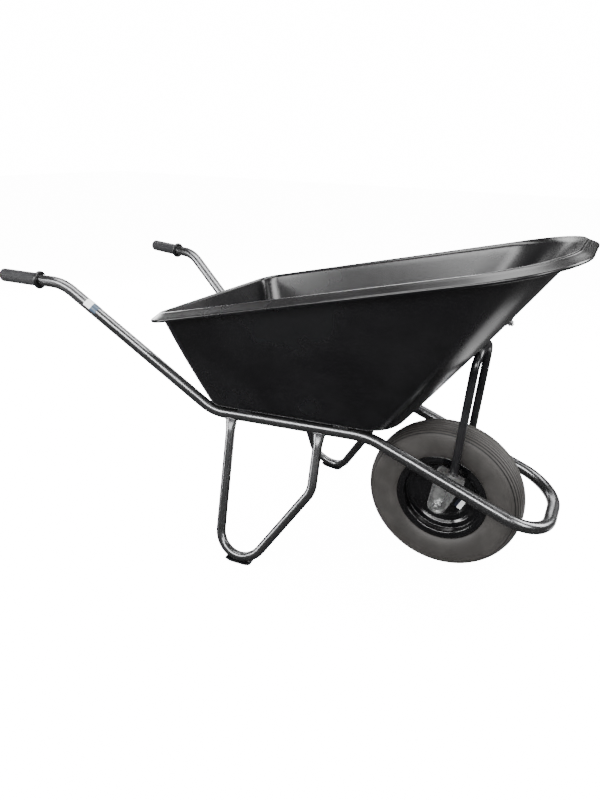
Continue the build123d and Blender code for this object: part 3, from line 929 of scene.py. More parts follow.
# ---------------------------------------------------------------- bent tubes
class TubeBender:
    """Geometry Nodes trees that draw bent tubes and weld beads along a line of corners."""

    ripple_share = 0.35
    least_scale = 0.9

    def __init__(self) -> None:
        """Builds both trees."""
        self.tube = self.build_tube()
        self.bead = self.build_bead()

    @staticmethod
    def start(name: str, floats: dict[str, float], whole: dict[str, int]) -> Nodes:
        """A tree with its sockets.

        Args:
            name: the tree's name.
            floats: distance inputs and their defaults, in metres.
            whole: whole-number inputs and their defaults.

        Returns:
            The tree's nodes.
        """
        tree = bpy.data.node_groups.new(name, "GeometryNodeTree")
        face = tree.interface
        face.new_socket("Geometry", in_out="INPUT", socket_type="NodeSocketGeometry")
        for key, value in floats.items():
            socket = face.new_socket(key, in_out="INPUT", socket_type="NodeSocketFloat")
            socket.default_value = value
        for key, value in whole.items():
            socket = face.new_socket(key, in_out="INPUT", socket_type="NodeSocketInt")
            socket.default_value = value
        face.new_socket("Material", in_out="INPUT", socket_type="NodeSocketMaterial")
        face.new_socket("Geometry", in_out="OUTPUT", socket_type="NodeSocketGeometry")
        return Nodes(tree)

    @staticmethod
    def end(
        nodes: Nodes, given: bpy.types.Node, geometry: bpy.types.NodeSocket
    ) -> bpy.types.NodeTree:
        """Shades smooth, realizes and sets the material.

        Args:
            nodes: the tree's nodes.
            given: its inputs.
            geometry: the shape so far.

        Returns:
            The finished tree.
        """
        smooth = nodes.add("GeometryNodeSetShadeSmooth")
        realize = nodes.add("GeometryNodeRealizeInstances")
        paint = nodes.add("GeometryNodeSetMaterial")
        out = nodes.add("NodeGroupOutput")
        nodes.link(geometry, smooth.inputs["Geometry"])
        nodes.wire(
            (smooth, "Geometry", realize, "Geometry"),
            (realize, "Geometry", paint, "Geometry"),
            (given, "Material", paint, "Material"),
            (paint, "Geometry", out, "Geometry"),
        )
        return nodes.tree

    def build_tube(self) -> bpy.types.NodeTree:
        """Corners to a round tube: each corner bent to the radius stored on it.

        Returns:
            The tree.
        """
        sizes = {"Radius": 0.015, "Step": 0.008}
        nodes = self.start("bent_tube", sizes, {"Sides": 40, "Bend Steps": 24})
        given = nodes.add("NodeGroupInput")
        line = nodes.add("GeometryNodeMeshToCurve")
        bend = nodes.add("GeometryNodeInputNamedAttribute", {"Name": "bend"}, data_type="FLOAT")
        fillet = nodes.add("GeometryNodeFilletCurve", mode="POLY")
        even = nodes.add("GeometryNodeResampleCurve", mode="LENGTH")
        ring = nodes.add("GeometryNodeCurvePrimitiveCircle")
        tube = nodes.add("GeometryNodeCurveToMesh", {"Fill Caps": True})
        nodes.wire(
            (given, "Geometry", line, "Mesh"),
            (line, "Curve", fillet, "Curve"),
            (given, "Bend Steps", fillet, "Count"),
            (bend, "Attribute", fillet, "Radius"),
            (fillet, "Curve", even, "Curve"),
            (given, "Step", even, "Length"),
            (given, "Sides", ring, "Resolution"),
            (given, "Radius", ring, "Radius"),
            (even, "Curve", tube, "Curve"),
            (ring, "Curve", tube, "Profile Curve"),
        )
        return self.end(nodes, given, tube.outputs["Mesh"])

    def build_bead(self) -> bpy.types.NodeTree:
        """A closed line to a weld bead that ripples along its length.

        Returns:
            The tree.
        """
        sizes = {"Radius": 0.0025, "Step": 0.0008, "Ripple": 0.0028, "Unevenness": 0.22}
        nodes = self.start("weld_bead", sizes, {"Sides": 10, "Seed": 3})
        given = nodes.add("NodeGroupInput")
        line = nodes.add("GeometryNodeMeshToCurve")
        even = nodes.add("GeometryNodeResampleCurve", mode="LENGTH")
        ring = nodes.add("GeometryNodeCurvePrimitiveCircle")
        tube = nodes.add("GeometryNodeCurveToMesh")
        along = nodes.add("GeometryNodeSplineParameter")
        grain = {"Scale": 180.0}
        noise = nodes.add("ShaderNodeTexNoise", grain, noise_dimensions="4D")
        share = nodes.math("DIVIDE", along.outputs["Length"], given.outputs["Ripple"])
        wave = nodes.math("SINE", nodes.math("MULTIPLY", share, 2 * math.pi))
        both = nodes.math("MULTIPLY_ADD", wave, self.ripple_share, noise.outputs["Fac"])
        scale = nodes.math("MULTIPLY_ADD", both, given.outputs["Unevenness"], self.least_scale)
        nodes.wire(
            (given, "Geometry", line, "Mesh"),
            (line, "Curve", even, "Curve"),
            (given, "Step", even, "Length"),
            (given, "Seed", noise, "W"),
            (given, "Sides", ring, "Resolution"),
            (given, "Radius", ring, "Radius"),
            (even, "Curve", tube, "Curve"),
            (ring, "Curve", tube, "Profile Curve"),
        )
        nodes.link(scale, tube.inputs["Scale"])
        return self.end(nodes, given, tube.outputs["Mesh"])

    @staticmethod
    def line(
        name: str, points: Sequence[Sequence[float]], bends: Sequence[float], closed: bool
    ) -> bpy.types.Object:
        """Corners as a mesh of edges, each with its bend radius.

        Args:
            name: the line's name.
            points: its corners, in millimetres from the axle line.
            bends: bend radius at each corner.
            closed: joins the last corner to the first.

        Returns:
            The line.
        """
        mesh = bpy.data.meshes.new(name)
        count = len(points)
        edges = [(i, i + 1) for i in range(count - 1)] + ([(count - 1, 0)] if closed else [])
        mesh.from_pydata([GROUND.place(point) for point in points], edges, [])
        layer = mesh.attributes.new("bend", "FLOAT", "POINT")
        layer.data.foreach_set("value", [radius * MM for radius in bends])
        return mesh_object(name, mesh)

    def run(
        self, tree: bpy.types.NodeTree, piece: bpy.types.Object, finish: Finish, **sizes: float
    ) -> bpy.types.Object:
        """Sets a tree's inputs by their identifiers and bakes the result.

        Args:
            tree: the tree.
            piece: the line of corners.
            finish: the material.
            sizes: input values by name.

        Returns:
            A plain mesh object.
        """
        name = piece.name
        modifier = piece.modifiers.new("nodes", "NODES")
        modifier.node_group = tree
        keys = {
            item.name: item.identifier
            for item in tree.interface.items_tree
            if item.in_out == "INPUT"
        }
        modifier[keys["Material"]] = finish.material()
        for key, value in sizes.items():
            modifier[keys[key]] = value
        piece.name = f"{name}_line"
        return baked(piece, name)

    def bend(
        self,
        name: str,
        points: Sequence[Sequence[float]],
        bends: Sequence[float],
        radius: float,
        finish: Finish,
        step: float = 8.0,
    ) -> bpy.types.Object:
        """A bent round tube.

        Args:
            name: the piece's name.
            points: corners of its centreline, in millimetres from the axle line.
            bends: bend radius at each corner.
            radius: the tube's outer radius.
            finish: its surface.
            step: distance between the tube's rings.

        Returns:
            A plain mesh object.
        """
        line = self.line(name, points, bends, False)
        sizes = {"Radius": radius * MM, "Step": step * MM}
        return self.run(self.tube, line, finish, **sizes)

    def weld(
        self,
        name: str,
        loops: Sequence[Sequence[Sequence[float]]],
        finish: Finish,
        radius: float = 2.4,
    ) -> bpy.types.Object:
        """Weld beads along closed loops, joined in one piece.

        Args:
            name: the piece's name.
            loops: closed lines, in millimetres from the axle line.
            finish: their surface.
            radius: half a bead's width.

        Returns:
            A plain mesh object.
        """
        work = bmesh.new()
        for number, loop in enumerate(loops):
            line = self.line(f"{name}_{number}", loop, [0.0] * len(loop), True)
            bead = self.run(self.bead, line, finish, Radius=radius * MM, Seed=number)
            work.from_mesh(bead.data)
            bpy.data.meshes.remove(bead.data)
        for face in work.faces:
            face.smooth = True
        return from_work(name, work)


def saddle(
    point: Vector, along: Vector, tube: Vector, rail_r: float, tube_r: Sequence[float]
) -> list[Vector]:
    """Where a tube's skin meets the skin of a straight rail that it stands on.

    Args:
        point: where the two centrelines meet.
        along: the rail's direction.
        tube: the tube's direction, away from the rail.
        rail_r: the rail's radius.
        tube_r: the tube's half widths along and across the rail.

    Returns:
        A closed loop of points.
    """
    along, tube = along.normalized(), tube.normalized()
    across = along.cross(tube).normalized()
    level = tube.cross(across)
    loop = []
    for step in range(48):
        angle = 2 * math.pi * step / 48
        start = level * math.cos(angle) * tube_r[0] + across * math.sin(angle) * tube_r[1]
        side = start - along * start.dot(along)
        down = tube - along * tube.dot(along)
        a, b, c = down.dot(down), side.dot(down), side.dot(side) - rail_r**2
        reach = (-b + math.sqrt(max(b * b - a * c, 0.0))) / a
        loop.append(point + start + tube * reach)
    return loop


# ---------------------------------------------------------------- frame
@dataclass
class FrameWork:
    """Main tube, grips, legs, shoes and cross straps."""

    bender: TubeBender
    tube_r: float = 15.0
    grip_end: tuple[float, float, float] = (-1190.0, 308.0, 679.0)
    handle_bend: tuple[float, float, float] = (-1000.0, 275.0, 673.0)
    heel: tuple[float, float, float] = (-601.0, 175.0, 360.0)
    knee: tuple[float, float, float] = (-176.0, 130.0, 374.0)
    loop_corner: tuple[float, float, float] = (260.0, 128.0, 223.1)
    bends: tuple[float, ...] = (0.0, 100.0, 95.0, 200.0, 100.0)
    leg_r: float = 12.5
    leg_rear_x: float = -546.0
    leg_front_x: float = -298.6
    leg_low: tuple[float, float, float] = (-497.1, 344.7, -117.0)
    leg_knee: tuple[float, float, float] = (-288.7, 199.2, 218.0)
    leg_bends: tuple[float, ...] = (0.0, 65.0, 60.0, 0.0)
    leg_flat: float = 34.0
    leg_flare: float = 1.28
    leg_pinch: float = 0.72
    shoe_width: float = 24.0
    shoe_thick: float = 4.0
    shoe_flat: float = 32.0
    shoe_curl: float = 35.0
    shoe_turn: float = 38.0
    shoe_edge: float = 1.2
    grip_r: float = 17.6
    grip_length: float = 124.0
    grip_wall: float = 4.0
    grip_dome: Flat = (7.0, 0.15)
    grip_nose: float = 6.5
    grip_lip: float = 0.9
    lip_span: Flat = (7.0, 5.0)
    collar_r: float = 24.0
    collar_width: float = 8.0
    label_arc: float = 140.0
    label_lean: float = -0.25
    label_layers: Flat = (0.45, 0.1)

    def mirrored(self, point: Sequence[float], side: Side) -> Vector:
        """A point of the left half, on the given side."""
        return Vector((point[0], point[1] * side.value, point[2]))

    def on_rail(self, x: float, side: Side) -> Vector:
        """Point of a rail's centreline on the level run."""
        heel, knee = self.mirrored(self.heel, side), self.mirrored(self.knee, side)
        return heel.lerp(knee, (x - heel.x) / (knee.x - heel.x))

    def leg_line(self, side: Side) -> Ring:
        """Corners of a leg's centreline.

        Args:
            side: the rail that it hangs from.

        Returns:
            Its rear end, its low point, its knee and its front end.
        """
        rear = self.on_rail(self.leg_rear_x, side)
        front = self.on_rail(self.leg_front_x, side)
        low, knee = self.mirrored(self.leg_low, side), self.mirrored(self.leg_knee, side)
        return [rear, low, knee, front]

    def main_tube(self) -> None:
        """One tube: handles, level run, front run and loop."""
        tip, bend = Vector(self.grip_end), Vector(self.handle_bend)
        start = tip + (bend - tip).normalized() * (self.grip_wall + 0.5)
        half = [start, bend, Vector(self.heel), Vector(self.knee), Vector(self.loop_corner)]
        right = [self.mirrored(point, Side.RIGHT) for point in half]
        points = right + half[::-1]
        bends = list(self.bends) + list(self.bends)[::-1]
        piece = self.bender.bend("frame_tube", points, bends, self.tube_r, FRAME_PAINT)
        dress(piece, FRAME_PAINT, Body.FRAME, "main_frame_tube")

    def grip(self, side: Side) -> None:
        """Knurled sleeve with a rounded end, and the black collar in front of the hand.

        Args:
            side: the handle that it is on.
        """
        tip = GROUND.place(self.mirrored(self.grip_end, side))
        bend = GROUND.place(self.mirrored(self.handle_bend, side))
        turn = (bend - tip).to_track_quat("Z", "Y").to_matrix().to_4x4()
        place = Matrix.Translation(tip) @ turn @ Matrix.Scale(MM, 4)
        inner, outer, end = self.tube_r + 0.05, self.grip_r, self.grip_length
        neck, nose, rings = end - self.collar_width, self.grip_nose, 12
        sleeve = [(0.0, 0.0), self.grip_dome, *arc((outer - nose, nose), nose, -90, 0, 8)]
        sleeve += [(outer, nose + (neck - nose) * step / rings) for step in range(1, rings)]
        lip, (low, high) = outer + self.grip_lip, self.lip_span
        sleeve += [(outer, neck - low), (lip, neck - high), (lip, neck)]
        sleeve += [(inner, neck), (inner, self.grip_wall), (0.0, self.grip_wall)]
        piece = lathe(f"grip_sleeve_{side.word}", sleeve, place, 72)
        self.unwrap_grip(piece, place)
        dress(piece, GRIP_RUBBER, Body.FRAME, f"grip_{side.word}")
        r, half = self.collar_r, self.collar_width / 2
        ring = [(inner, neck), *arc((r - half, neck + half), half, -90, 90, 10), (inner, end)]
        collar = lathe(f"grip_collar_{side.word}", ring, place, 72)
        dress(collar, COLLAR_RUBBER, Body.FRAME)

    def unwrap_grip(self, piece: bpy.types.Object, place: Matrix) -> None:
        """A UV map whose U runs round the grip and V along it, both in steps of 100 mm.

        Args:
            piece: the grip's sleeve.
            place: from the sleeve's millimetres to the row frame.
        """
        back = place.inverted()
        layer = piece.data.uv_layers.new(name="round")
        unit = 100
        girth = 2 * math.pi * self.grip_r
        for face in piece.data.polygons:
            spots = [back @ piece.data.vertices[i].co for i in face.vertices]
            turns = [math.atan2(spot.y, spot.x) / (2 * math.pi) for spot in spots]
            if max(turns) - min(turns) > 0.5:
                turns = [turn + 1 if turn < 0 else turn for turn in turns]
            for loop, turn, spot in zip(face.loop_indices, turns, spots):
                layer.data[loop].uv = (turn * girth / unit, spot.z / unit)

    def leg(self, side: Side) -> None:
        """A planar looped leg whose ends are pressed flat against the rail.

        Args:
            side: the rail that it hangs from.
        """
        points = self.leg_line(side)
        rear, low, knee, front = points
        name = f"leg_tube_{side.word}"
        piece = self.bender.bend(name, points, self.leg_bends, self.leg_r, FRAME_PAINT, 5.0)
        along = (front - rear).normalized()
        for top, down in ((rear, low - rear), (front, knee - front)):
            self.press_end(piece, top, down.normalized(), along)
        dress(piece, FRAME_PAINT, Body.FRAME, f"leg_{side.word}")

    def press_end(
        self, piece: bpy.types.Object, top: Vector, down: Vector, along: Vector
    ) -> None:
        """Widens a leg's end along the rail and thins it across.

        Args:
            piece: the leg.
            top: where the end meets the rail's centreline.
            down: direction down the leg.
            along: direction of the rail.
        """
        level = (along - down * along.dot(down)).normalized()
        across = down.cross(level)
        start = GROUND.place(top)
        reach = (self.tube_r + self.leg_flat) * MM
        above, around = 0.02, 0.07
        for vertex in piece.data.vertices:
            offset = vertex.co - start
            depth = offset.dot(down)
            if not -above < depth < reach or offset.length > around:
                continue
            share = min(max((reach - depth) / (self.leg_flat * MM), 0.0), 1.0)
            share = share * share * (3 - 2 * share)
            wide = 1 + (self.leg_flare - 1) * share
            thin = 1 + (self.leg_pinch - 1) * share
            sideways = level * offset.dot(level) * wide + across * offset.dot(across) * thin
            vertex.co = start + down * depth + sideways

    def leg_welds(self) -> None:
        """Beads where the legs meet the rails."""
        loops = []
        widths = (self.leg_r * self.leg_flare, self.leg_r * self.leg_pinch)
        for side in Side:
            rear, low, knee, front = self.leg_line(side)
            loops.append(saddle(rear, front - rear, low - rear, self.tube_r, widths))
            loops.append(saddle(front, front - rear, knee - front, self.tube_r, widths))
        dress(self.bender.weld("leg_welds", loops, FRAME_PAINT), FRAME_PAINT, Body.FRAME)

    def shoes_and_straps(self) -> None:
        """Shoes under the legs and straps across the rails."""
        for side in Side:
            piece = self.shoe(side)
            dress(piece, HOOP_PAINT, Body.FRAME, f"foot_plate_{side.word}")
        for end in ("rear", "front"):
            piece = softened(f"cross_strap_{end}", f"strap_{end}", 0.8)
            dress(piece, FRAME_PAINT, Body.FRAME, f"cross_strap_{end}")

    def shoe(self, side: Side) -> bpy.types.Object:
        """A flat shoe that curls up at both ends.

        Args:
            side: the leg that it is under.

        Returns:
            The piece.
        """
        rail = self.on_rail(self.leg_front_x, side) - self.on_rail(self.leg_rear_x, side)
        along = Vector((rail.x, rail.y, 0)).normalized()
        across = Vector((-along.y, along.x, 0))
        low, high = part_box(f"foot_plate_{side.word}")
        middle = (low + high) / 2
        middle.z = 0
        flats, curls = 4, 12
        path = [(self.shoe_flat / 2 * step / flats, 0.0, 0.0) for step in range(flats + 1)]
        for step in range(1, curls + 1):
            turn = math.radians(self.shoe_turn) * step / curls
            reach = self.shoe_flat / 2 + self.shoe_curl * math.sin(turn)
            path.append((reach, self.shoe_curl * (1 - math.cos(turn)), turn))
        path = [(-x, z, -turn) for x, z, turn in reversed(path[1:])] + path
        half, thick = self.shoe_width / 2, self.shoe_thick
        corners = [(-half, 0), (half, 0), (half, thick), (-half, thick)]
        section = rounded(corners, [self.shoe_edge] * 4, 4)
        rings = []
        for x, z, turn in path:
            start = middle + (along * x + Vector((0, 0, z))) * MM
            up = Vector((0, 0, math.cos(turn))) - along * math.sin(turn)
            rings.append([start + (across * a + up * b) * MM for a, b in section])
        piece = skin(f"shoe_{side.word}", rings, capped=True)
        piece.data.set_sharp_from_angle(angle=math.radians(50))
        return piece

    def label(self) -> None:
        """Blank wrap-round label on the right handle's slope: white, with a blue block."""
        bend = self.mirrored(self.handle_bend, Side.RIGHT)
        down = (self.mirrored(self.heel, Side.RIGHT) - bend).normalized()
        lean = Vector((0, self.label_lean, 1))
        up = (lean - down * lean.dot(down)).normalized()
        side = down.cross(up)
        half, section = self.label_arc / 2, []
        for layer, way in zip(self.label_layers, (1, -1)):
            spots = arc((0.0, 0.0), self.tube_r + layer, -half * way, half * way, 24)
            section += [up * a + side * b for a, b in spots]
        # name, distance down the slope, length, finish
        blocks = (("white", 78.0, 20.0, LABEL_WHITE), ("blue", 98.4, 18.0, LABEL_BLUE))
        for word, start, length, finish in blocks:
            ends = [bend + down * start, bend + down * (start + length)]
            grid = [[GROUND.place(end + point) for point in section] for end in ends]
            piece = skin(f"handle_label_{word}", grid, capped=True)
            for face in piece.data.polygons:
                face.use_smooth = len(face.vertices) == 4
            piece.data.set_sharp_from_angle(angle=SHARP)
            dress(piece, finish, Body.FRAME)

    def build(self) -> None:
        """Makes the whole frame."""
        self.main_tube()
        for side in Side:
            self.grip(side)
            self.leg(side)
        self.leg_welds()
        self.shoes_and_straps()
        self.label()


# ---------------------------------------------------------------- tray
@dataclass
class Plan:
    """A rounded trapezoid: rear and front edges, half widths and corner radii."""

    rear: float
    front: float
    rear_half: float
    front_half: float
    rear_r: float
    front_r: float

    def outline(self) -> list[Flat]:
        """Points round the outline, as many for every plan, from the rear right corner.

        Returns:
            The points.
        """
        corners = [
            (self.rear, -self.rear_half),
            (self.front, -self.front_half),
            (self.front, self.front_half),
            (self.rear, self.rear_half),
        ]
        radii = [self.rear_r, self.front_r, self.front_r, self.rear_r]
        steps, edge_spans = 18, (24, 10, 24, 16)
        line = rounded(corners, radii, steps)
        points = []
        for corner, spans in enumerate(edge_spans):
            first, last = corner * (steps + 1), (corner + 1) * (steps + 1)
            start, end = Vector(line[last - 1]), Vector(line[last % len(line)])
            points += line[first:last]
            points += [tuple(start.lerp(end, step / spans)) for step in range(1, spans)]
        return points


@dataclass
class Tray:
    """One moulded tray: floor, walls and a rim whose skirt slants outwards."""

    floor: Plan
    crest: Plan
    floor_z: float = 379.2
    floor_x: float = -610.5
    floor_slope: float = 0.0329
    crest_z: float = 632.3
    crest_slope: float = 0.24097
    wall: float = 5.0
    bottom_r: float = 30.0
    skirt_out: float = 27.0
    skirt_drop: float = 13.0
    skirt_taper: float = 0.2
    skirt_thick: float = 4.0
    hem_r: float = 4.2
    crest_r: float = 2.4
    wall_rows: int = 26
    bow: float = 3.0
    corner_fill: float = 9.0
    fill_back: float = 70.0
    fill_reach: float = 130.0
    fill_top: float = 0.94
    fill_power: float = 0.6
    under_rows: tuple[float, ...] = (0.12, 0.4, 0.7, 0.92)
    over_rows: tuple[float, ...] = (0.85, 0.6, 0.35, 0.15)
    crest_rows: tuple[float, ...] = (0.3, 0.6, 0.85)
    crest_sink: float = 0.4
    floor_rows: tuple[float, ...] = (0.02, 0.35, 0.7)

    def floor_point(self, x: float, y: float) -> Vector:
        """A point on the floor's underside."""
        return Vector((x, y, self.floor_z + self.floor_slope * (x - self.floor_x)))

    def crest_point(self, x: float, y: float) -> Vector:
        """A point in the plane of the rim's crest."""
        return Vector((x, y, self.crest_z + self.crest_slope * (x - self.crest.rear)))

    @staticmethod
    def inward(ring: Ring, up: Vector) -> Ring:
        """Directions square to a ring, towards its inside.

        Args:
            ring: the ring.
            up: the direction that its plane faces.

        Returns:
            One direction for each of its points.
        """
        return [
            up.cross(ring[(i + 1) % len(ring)] - ring[i - 1]).normalized()
            for i in range(len(ring))
        ]

    def outer_grid(self) -> list[Ring]:
        """Rings from the floor, round the bottom edge, and up the walls to the crest.

        Returns:
            The rings.
        """
        low = [self.floor_point(*point) for point in self.floor.outline()]
        high = [self.crest_point(*point) for point in self.crest.outline()]
        up = Vector((-self.floor_slope, 0, 1)).normalized()
        feet = zip(low, high, self.inward(low, up))
        return [list(ring) for ring in zip(*[self.column(*foot) for foot in feet])]

    def column(self, foot: Vector, head: Vector, way: Vector) -> Ring:
        """One line up the outside, from inside the bottom edge's curve to the crest.

        Args:
            foot: where the wall's slope meets the floor.
            head: the wall's top.
            way: direction across the floor, inwards.

        Returns:
            The points, bottom to top.
        """
        rise = (head - foot).normalized()
        turn = (-way).angle(rise)
        reach = self.bottom_r * math.tan(turn / 2)
        end = foot + rise * reach
        points = corner_arc(foot + way * reach, foot, end, (math.pi - turn) / 2, 8)
        gap = abs(head.x - (self.crest.front - self.fill_back))
        front = max(0.0, 1 - gap / self.fill_reach)
        corner = front * min(abs(head.y) / self.crest.front_half, 1.0)
        for row in range(1, self.wall_rows + 1):
            share = row / self.wall_rows
            swell = self.bow * math.sin(math.pi * share)
            fill = math.sin(math.pi * min(share, self.fill_top)) ** self.fill_power
            swell += self.corner_fill * corner * fill
            points.append(end.lerp(head, share) - way * swell)
        return points

    @staticmethod
    def offset(grid: list[Ring], distance: float) -> list[Ring]:
        """The grid moved inwards along its own normals.

        Args:
            grid: the rings.
            distance: how far.

        Returns:
            The moved rings.
        """
        moved = []
        count = len(grid[0])
        for r, ring in enumerate(grid):
            below, above = grid[max(r - 1, 0)], grid[min(r + 1, len(grid) - 1)]
            row = []
            for i, point in enumerate(ring):
                along = ring[(i + 1) % count] - ring[i - 1]
                normal = along.cross(above[i] - below[i]).normalized()
                row.append(point - normal * distance)
            moved.append(row)
        return moved

    def rim_rows(self, outer_top: Ring, inner_top: Ring) -> list[Ring]:
        """Rows from the wall's outside, round the skirt and over the crest.

        Args:
            outer_top: the wall's outer ring at the crest.
            inner_top: its inner ring.

        Returns:
            The rings, outside to inside.
        """
        up = Vector((-self.crest_slope, 0, 1)).normalized()
        slant = math.atan2(self.skirt_drop, self.skirt_out)
        length = math.hypot(self.skirt_drop, self.skirt_out)
        run, fall, thick = math.cos(slant), math.sin(slant), self.skirt_thick
        section = [(0.5, -thick / run - 0.5)]
        for share in self.under_rows:
            along = length * share
            section.append((along * run - thick * fall * 0.9, -along * fall - thick * run))
        half = self.hem_r
        hem = ((length - half) * run - half * fall, -(length - half) * fall - half * run)
        tilt = -math.degrees(slant)
        section += arc(hem, half, tilt - 90, tilt + 90, 8)
        section += [(length * share * run, -length * share * fall) for share in self.over_rows]
        section += arc((0.0, -self.crest_r), self.crest_r, 90 + tilt, 90, 4)
        span = self.crest.front - self.crest.rear
        sides = [
            (top, way, 1 - self.skirt_taper * (top.x - self.crest.rear) / span)
            for top, way in zip(outer_top, self.inward(outer_top, up))
        ]
        rows = [
            [top - way * out * share + up * lift for top, way, share in sides]
            for out, lift in section
        ]
        for share in self.crest_rows:
            sink = up * (-self.crest_sink * share)
            rows.append([a.lerp(b, share) + sink for a, b in zip(outer_top, inner_top)])
        return rows

    def build(self) -> None:
        """Makes the tray as one closed shell."""
        outer = self.outer_grid()
        inner = self.offset(outer, self.wall)
        rim = self.rim_rows(outer[-1], inner[-1])
        rows = outer[:-1] + rim + inner[::-1][1:]
        middle_out = sum(outer[0], Vector()) / len(outer[0])
        middle_in = sum(inner[0], Vector()) / len(inner[0])
        below = [[middle_out.lerp(p, s) for p in outer[0]] for s in self.floor_rows]
        above = [[middle_in.lerp(p, s) for p in inner[0]] for s in self.floor_rows[::-1]]
        rings = [[GROUND.place(p) for p in row] for row in below + rows + above]
        piece = skin("moulded_tray", rings, capped=True)
        dress(piece, TRAY_PLASTIC, Body.FRAME, "tray")


# ---------------------------------------------------------------- front end
@dataclass
class FrontEnd:
    """Hoop, tab, axle brackets, axle and their fasteners."""

    bender: TubeBender
    hoop_r: float = 10.0
    hoop_half: float = 70.0
    hoop_bend: float = 42.0
    hoop_foot: tuple[float, float] = (30.3, 299.8)
    hoop_crown: tuple[float, float] = (44.35, 604.0)
    bracket_y: float = 62.0
    bracket_sheet: float = 4.0
    axle_r: float = 6.0
    nut_across: float = 19.0
    nut_height: float = 10.0
    nut_crown: float = 1.03
    nut_slope: float = 0.6
    nut_edge: Flat = (0.2, 0.4)
    sink: float = 1.0
    washer: Flat = (12.0, 2.5)
    washer_edge: float = 0.5
    stub: float = 4.0
    stub_edge: float = 1.2
    thread_pitch: float = 1.25
    thread_depth: float = 0.7
    thread_spots: Flat = (0.3, 0.75)
    thread_inside: float = 6.0
    weld_slope: tuple[float, float, float] = (0.945, 0.0, -0.327)
    weld_gap: float = 0.6

    def hoop(self) -> None:
        """The upturned U that holds the tray's front wall."""
        foot, crown = self.hoop_foot, self.hoop_crown
        y = self.hoop_half
        points = [
            (foot[0], -y, foot[1]),
            (crown[0], -y, crown[1]),
            (crown[0], y, crown[1]),
            (foot[0], y, foot[1]),
        ]
        bends = (0.0, self.hoop_bend, self.hoop_bend, 0.0)
        piece = self.bender.bend("hoop_tube", points, bends, self.hoop_r, HOOP_PAINT, 6.0)
        dress(piece, HOOP_PAINT, Body.FRAME, "tray_hoop")
        dress(softened("hoop_tab", "tab_plate", 0.8), HOOP_PAINT, Body.FRAME, "hoop_tab")

    def hoop_welds(self) -> None:
        """Beads round the hoop's feet, on the brackets."""
        x, z = self.hoop_foot
        slope, level = Vector(self.weld_slope), Vector((0, 1, 0))
        loops = []
        for side in Side:
            foot = Vector((x, self.hoop_half * side.value, z))
            loops.append(circle(foot, slope, level, self.hoop_r + self.weld_gap, 40))
        dress(self.bender.weld("hoop_welds", loops, HOOP_PAINT, 2.0), HOOP_PAINT, Body.FRAME)

    def brackets(self) -> None:
        """The folded brackets, their edges rounded."""
        for side in Side:
            node = f"axle_bracket_{side.word}"
            dress(softened(node, f"bracket_{side.word}", 0.8), ZINC, Body.FRAME, node)

    def hex_nut(
        self, name: str, across: float, height: float, bore: float, place: Matrix
    ) -> bpy.types.Object:
        """A hexagon nut with chamfered corners and a countersunk thread.

        Args:
            name: the piece's name.
            across: width across its flats.
            height: its height.
            bore: radius of its thread.
            place: from its millimetres, standing on XY, to the row frame.

        Returns:
            The piece.
        """
        steps, crown = 96, across / 2 * self.nut_crown
        edge, rim = self.nut_edge
        rows: list[Ring] = [[] for _ in range(8)]
        for step in range(steps):
            angle = 2 * math.pi * step / steps
            face = (angle + math.pi / 6) % (math.pi / 3) - math.pi / 6
            r = across / 2 / math.cos(face)
            drop = max(r - crown, 0.0) * self.nut_slope + edge
            flat = min(r, crown) - rim
            spots = (
                (bore, self.sink),
                (bore + self.sink, 0.0),
                (flat, 0.0),
                (r, drop),
                (r, height - drop),
                (flat, height),
                (bore + self.sink, height),
                (bore, height - self.sink),
            )
            for row, (radius, z) in zip(rows, spots):
                spot = Vector((radius * math.cos(angle), radius * math.sin(angle), z))
                row.append(place @ spot)
        piece = skin(name, rows, closed=True)
        piece.data.set_sharp_from_angle(angle=math.radians(25))
        return piece

    def axle_line(self, side: Side, out: float) -> Matrix:
        """Local Z outwards along the axle.

        Args:
            side: the end that it points to.
            out: how far from the barrow's middle it starts.

        Returns:
            From the part's millimetres to the row frame.
        """
        turn = Matrix.Rotation(-math.pi / 2 * side.value, 4, "X")
        start = GROUND.place((0, out * side.value, GROUND.axle_z))
        return Matrix.Translation(start) @ turn @ Matrix.Scale(MM, 4)

    def axle(self) -> None:
        """Axle with threaded ends."""
        face = self.bracket_y + self.bracket_sheet
        end = face + self.washer[1] + self.nut_height + self.stub
        r, inside = self.axle_r, face - self.thread_inside
        crest, root = self.thread_spots
        turns = int((end - self.stub_edge - inside) / self.thread_pitch)
        profile = [(0.0, -end), (r - 1.0, -end)]
        for i in range(turns):
            z = -end + self.stub_edge + i * self.thread_pitch
            profile += [(r, z), (r, z + crest), (r - self.thread_depth, z + root)]
        profile += [(r, -inside)]
        profile += [(radius, -z) for radius, z in reversed(profile)]
        rod = lathe("axle_rod", profile, GROUND.about_axle(), 48)
        dress(rod, ZINC, Body.FRAME, "axle")
        for side in Side:
            self.washer_and_nut(side, face)

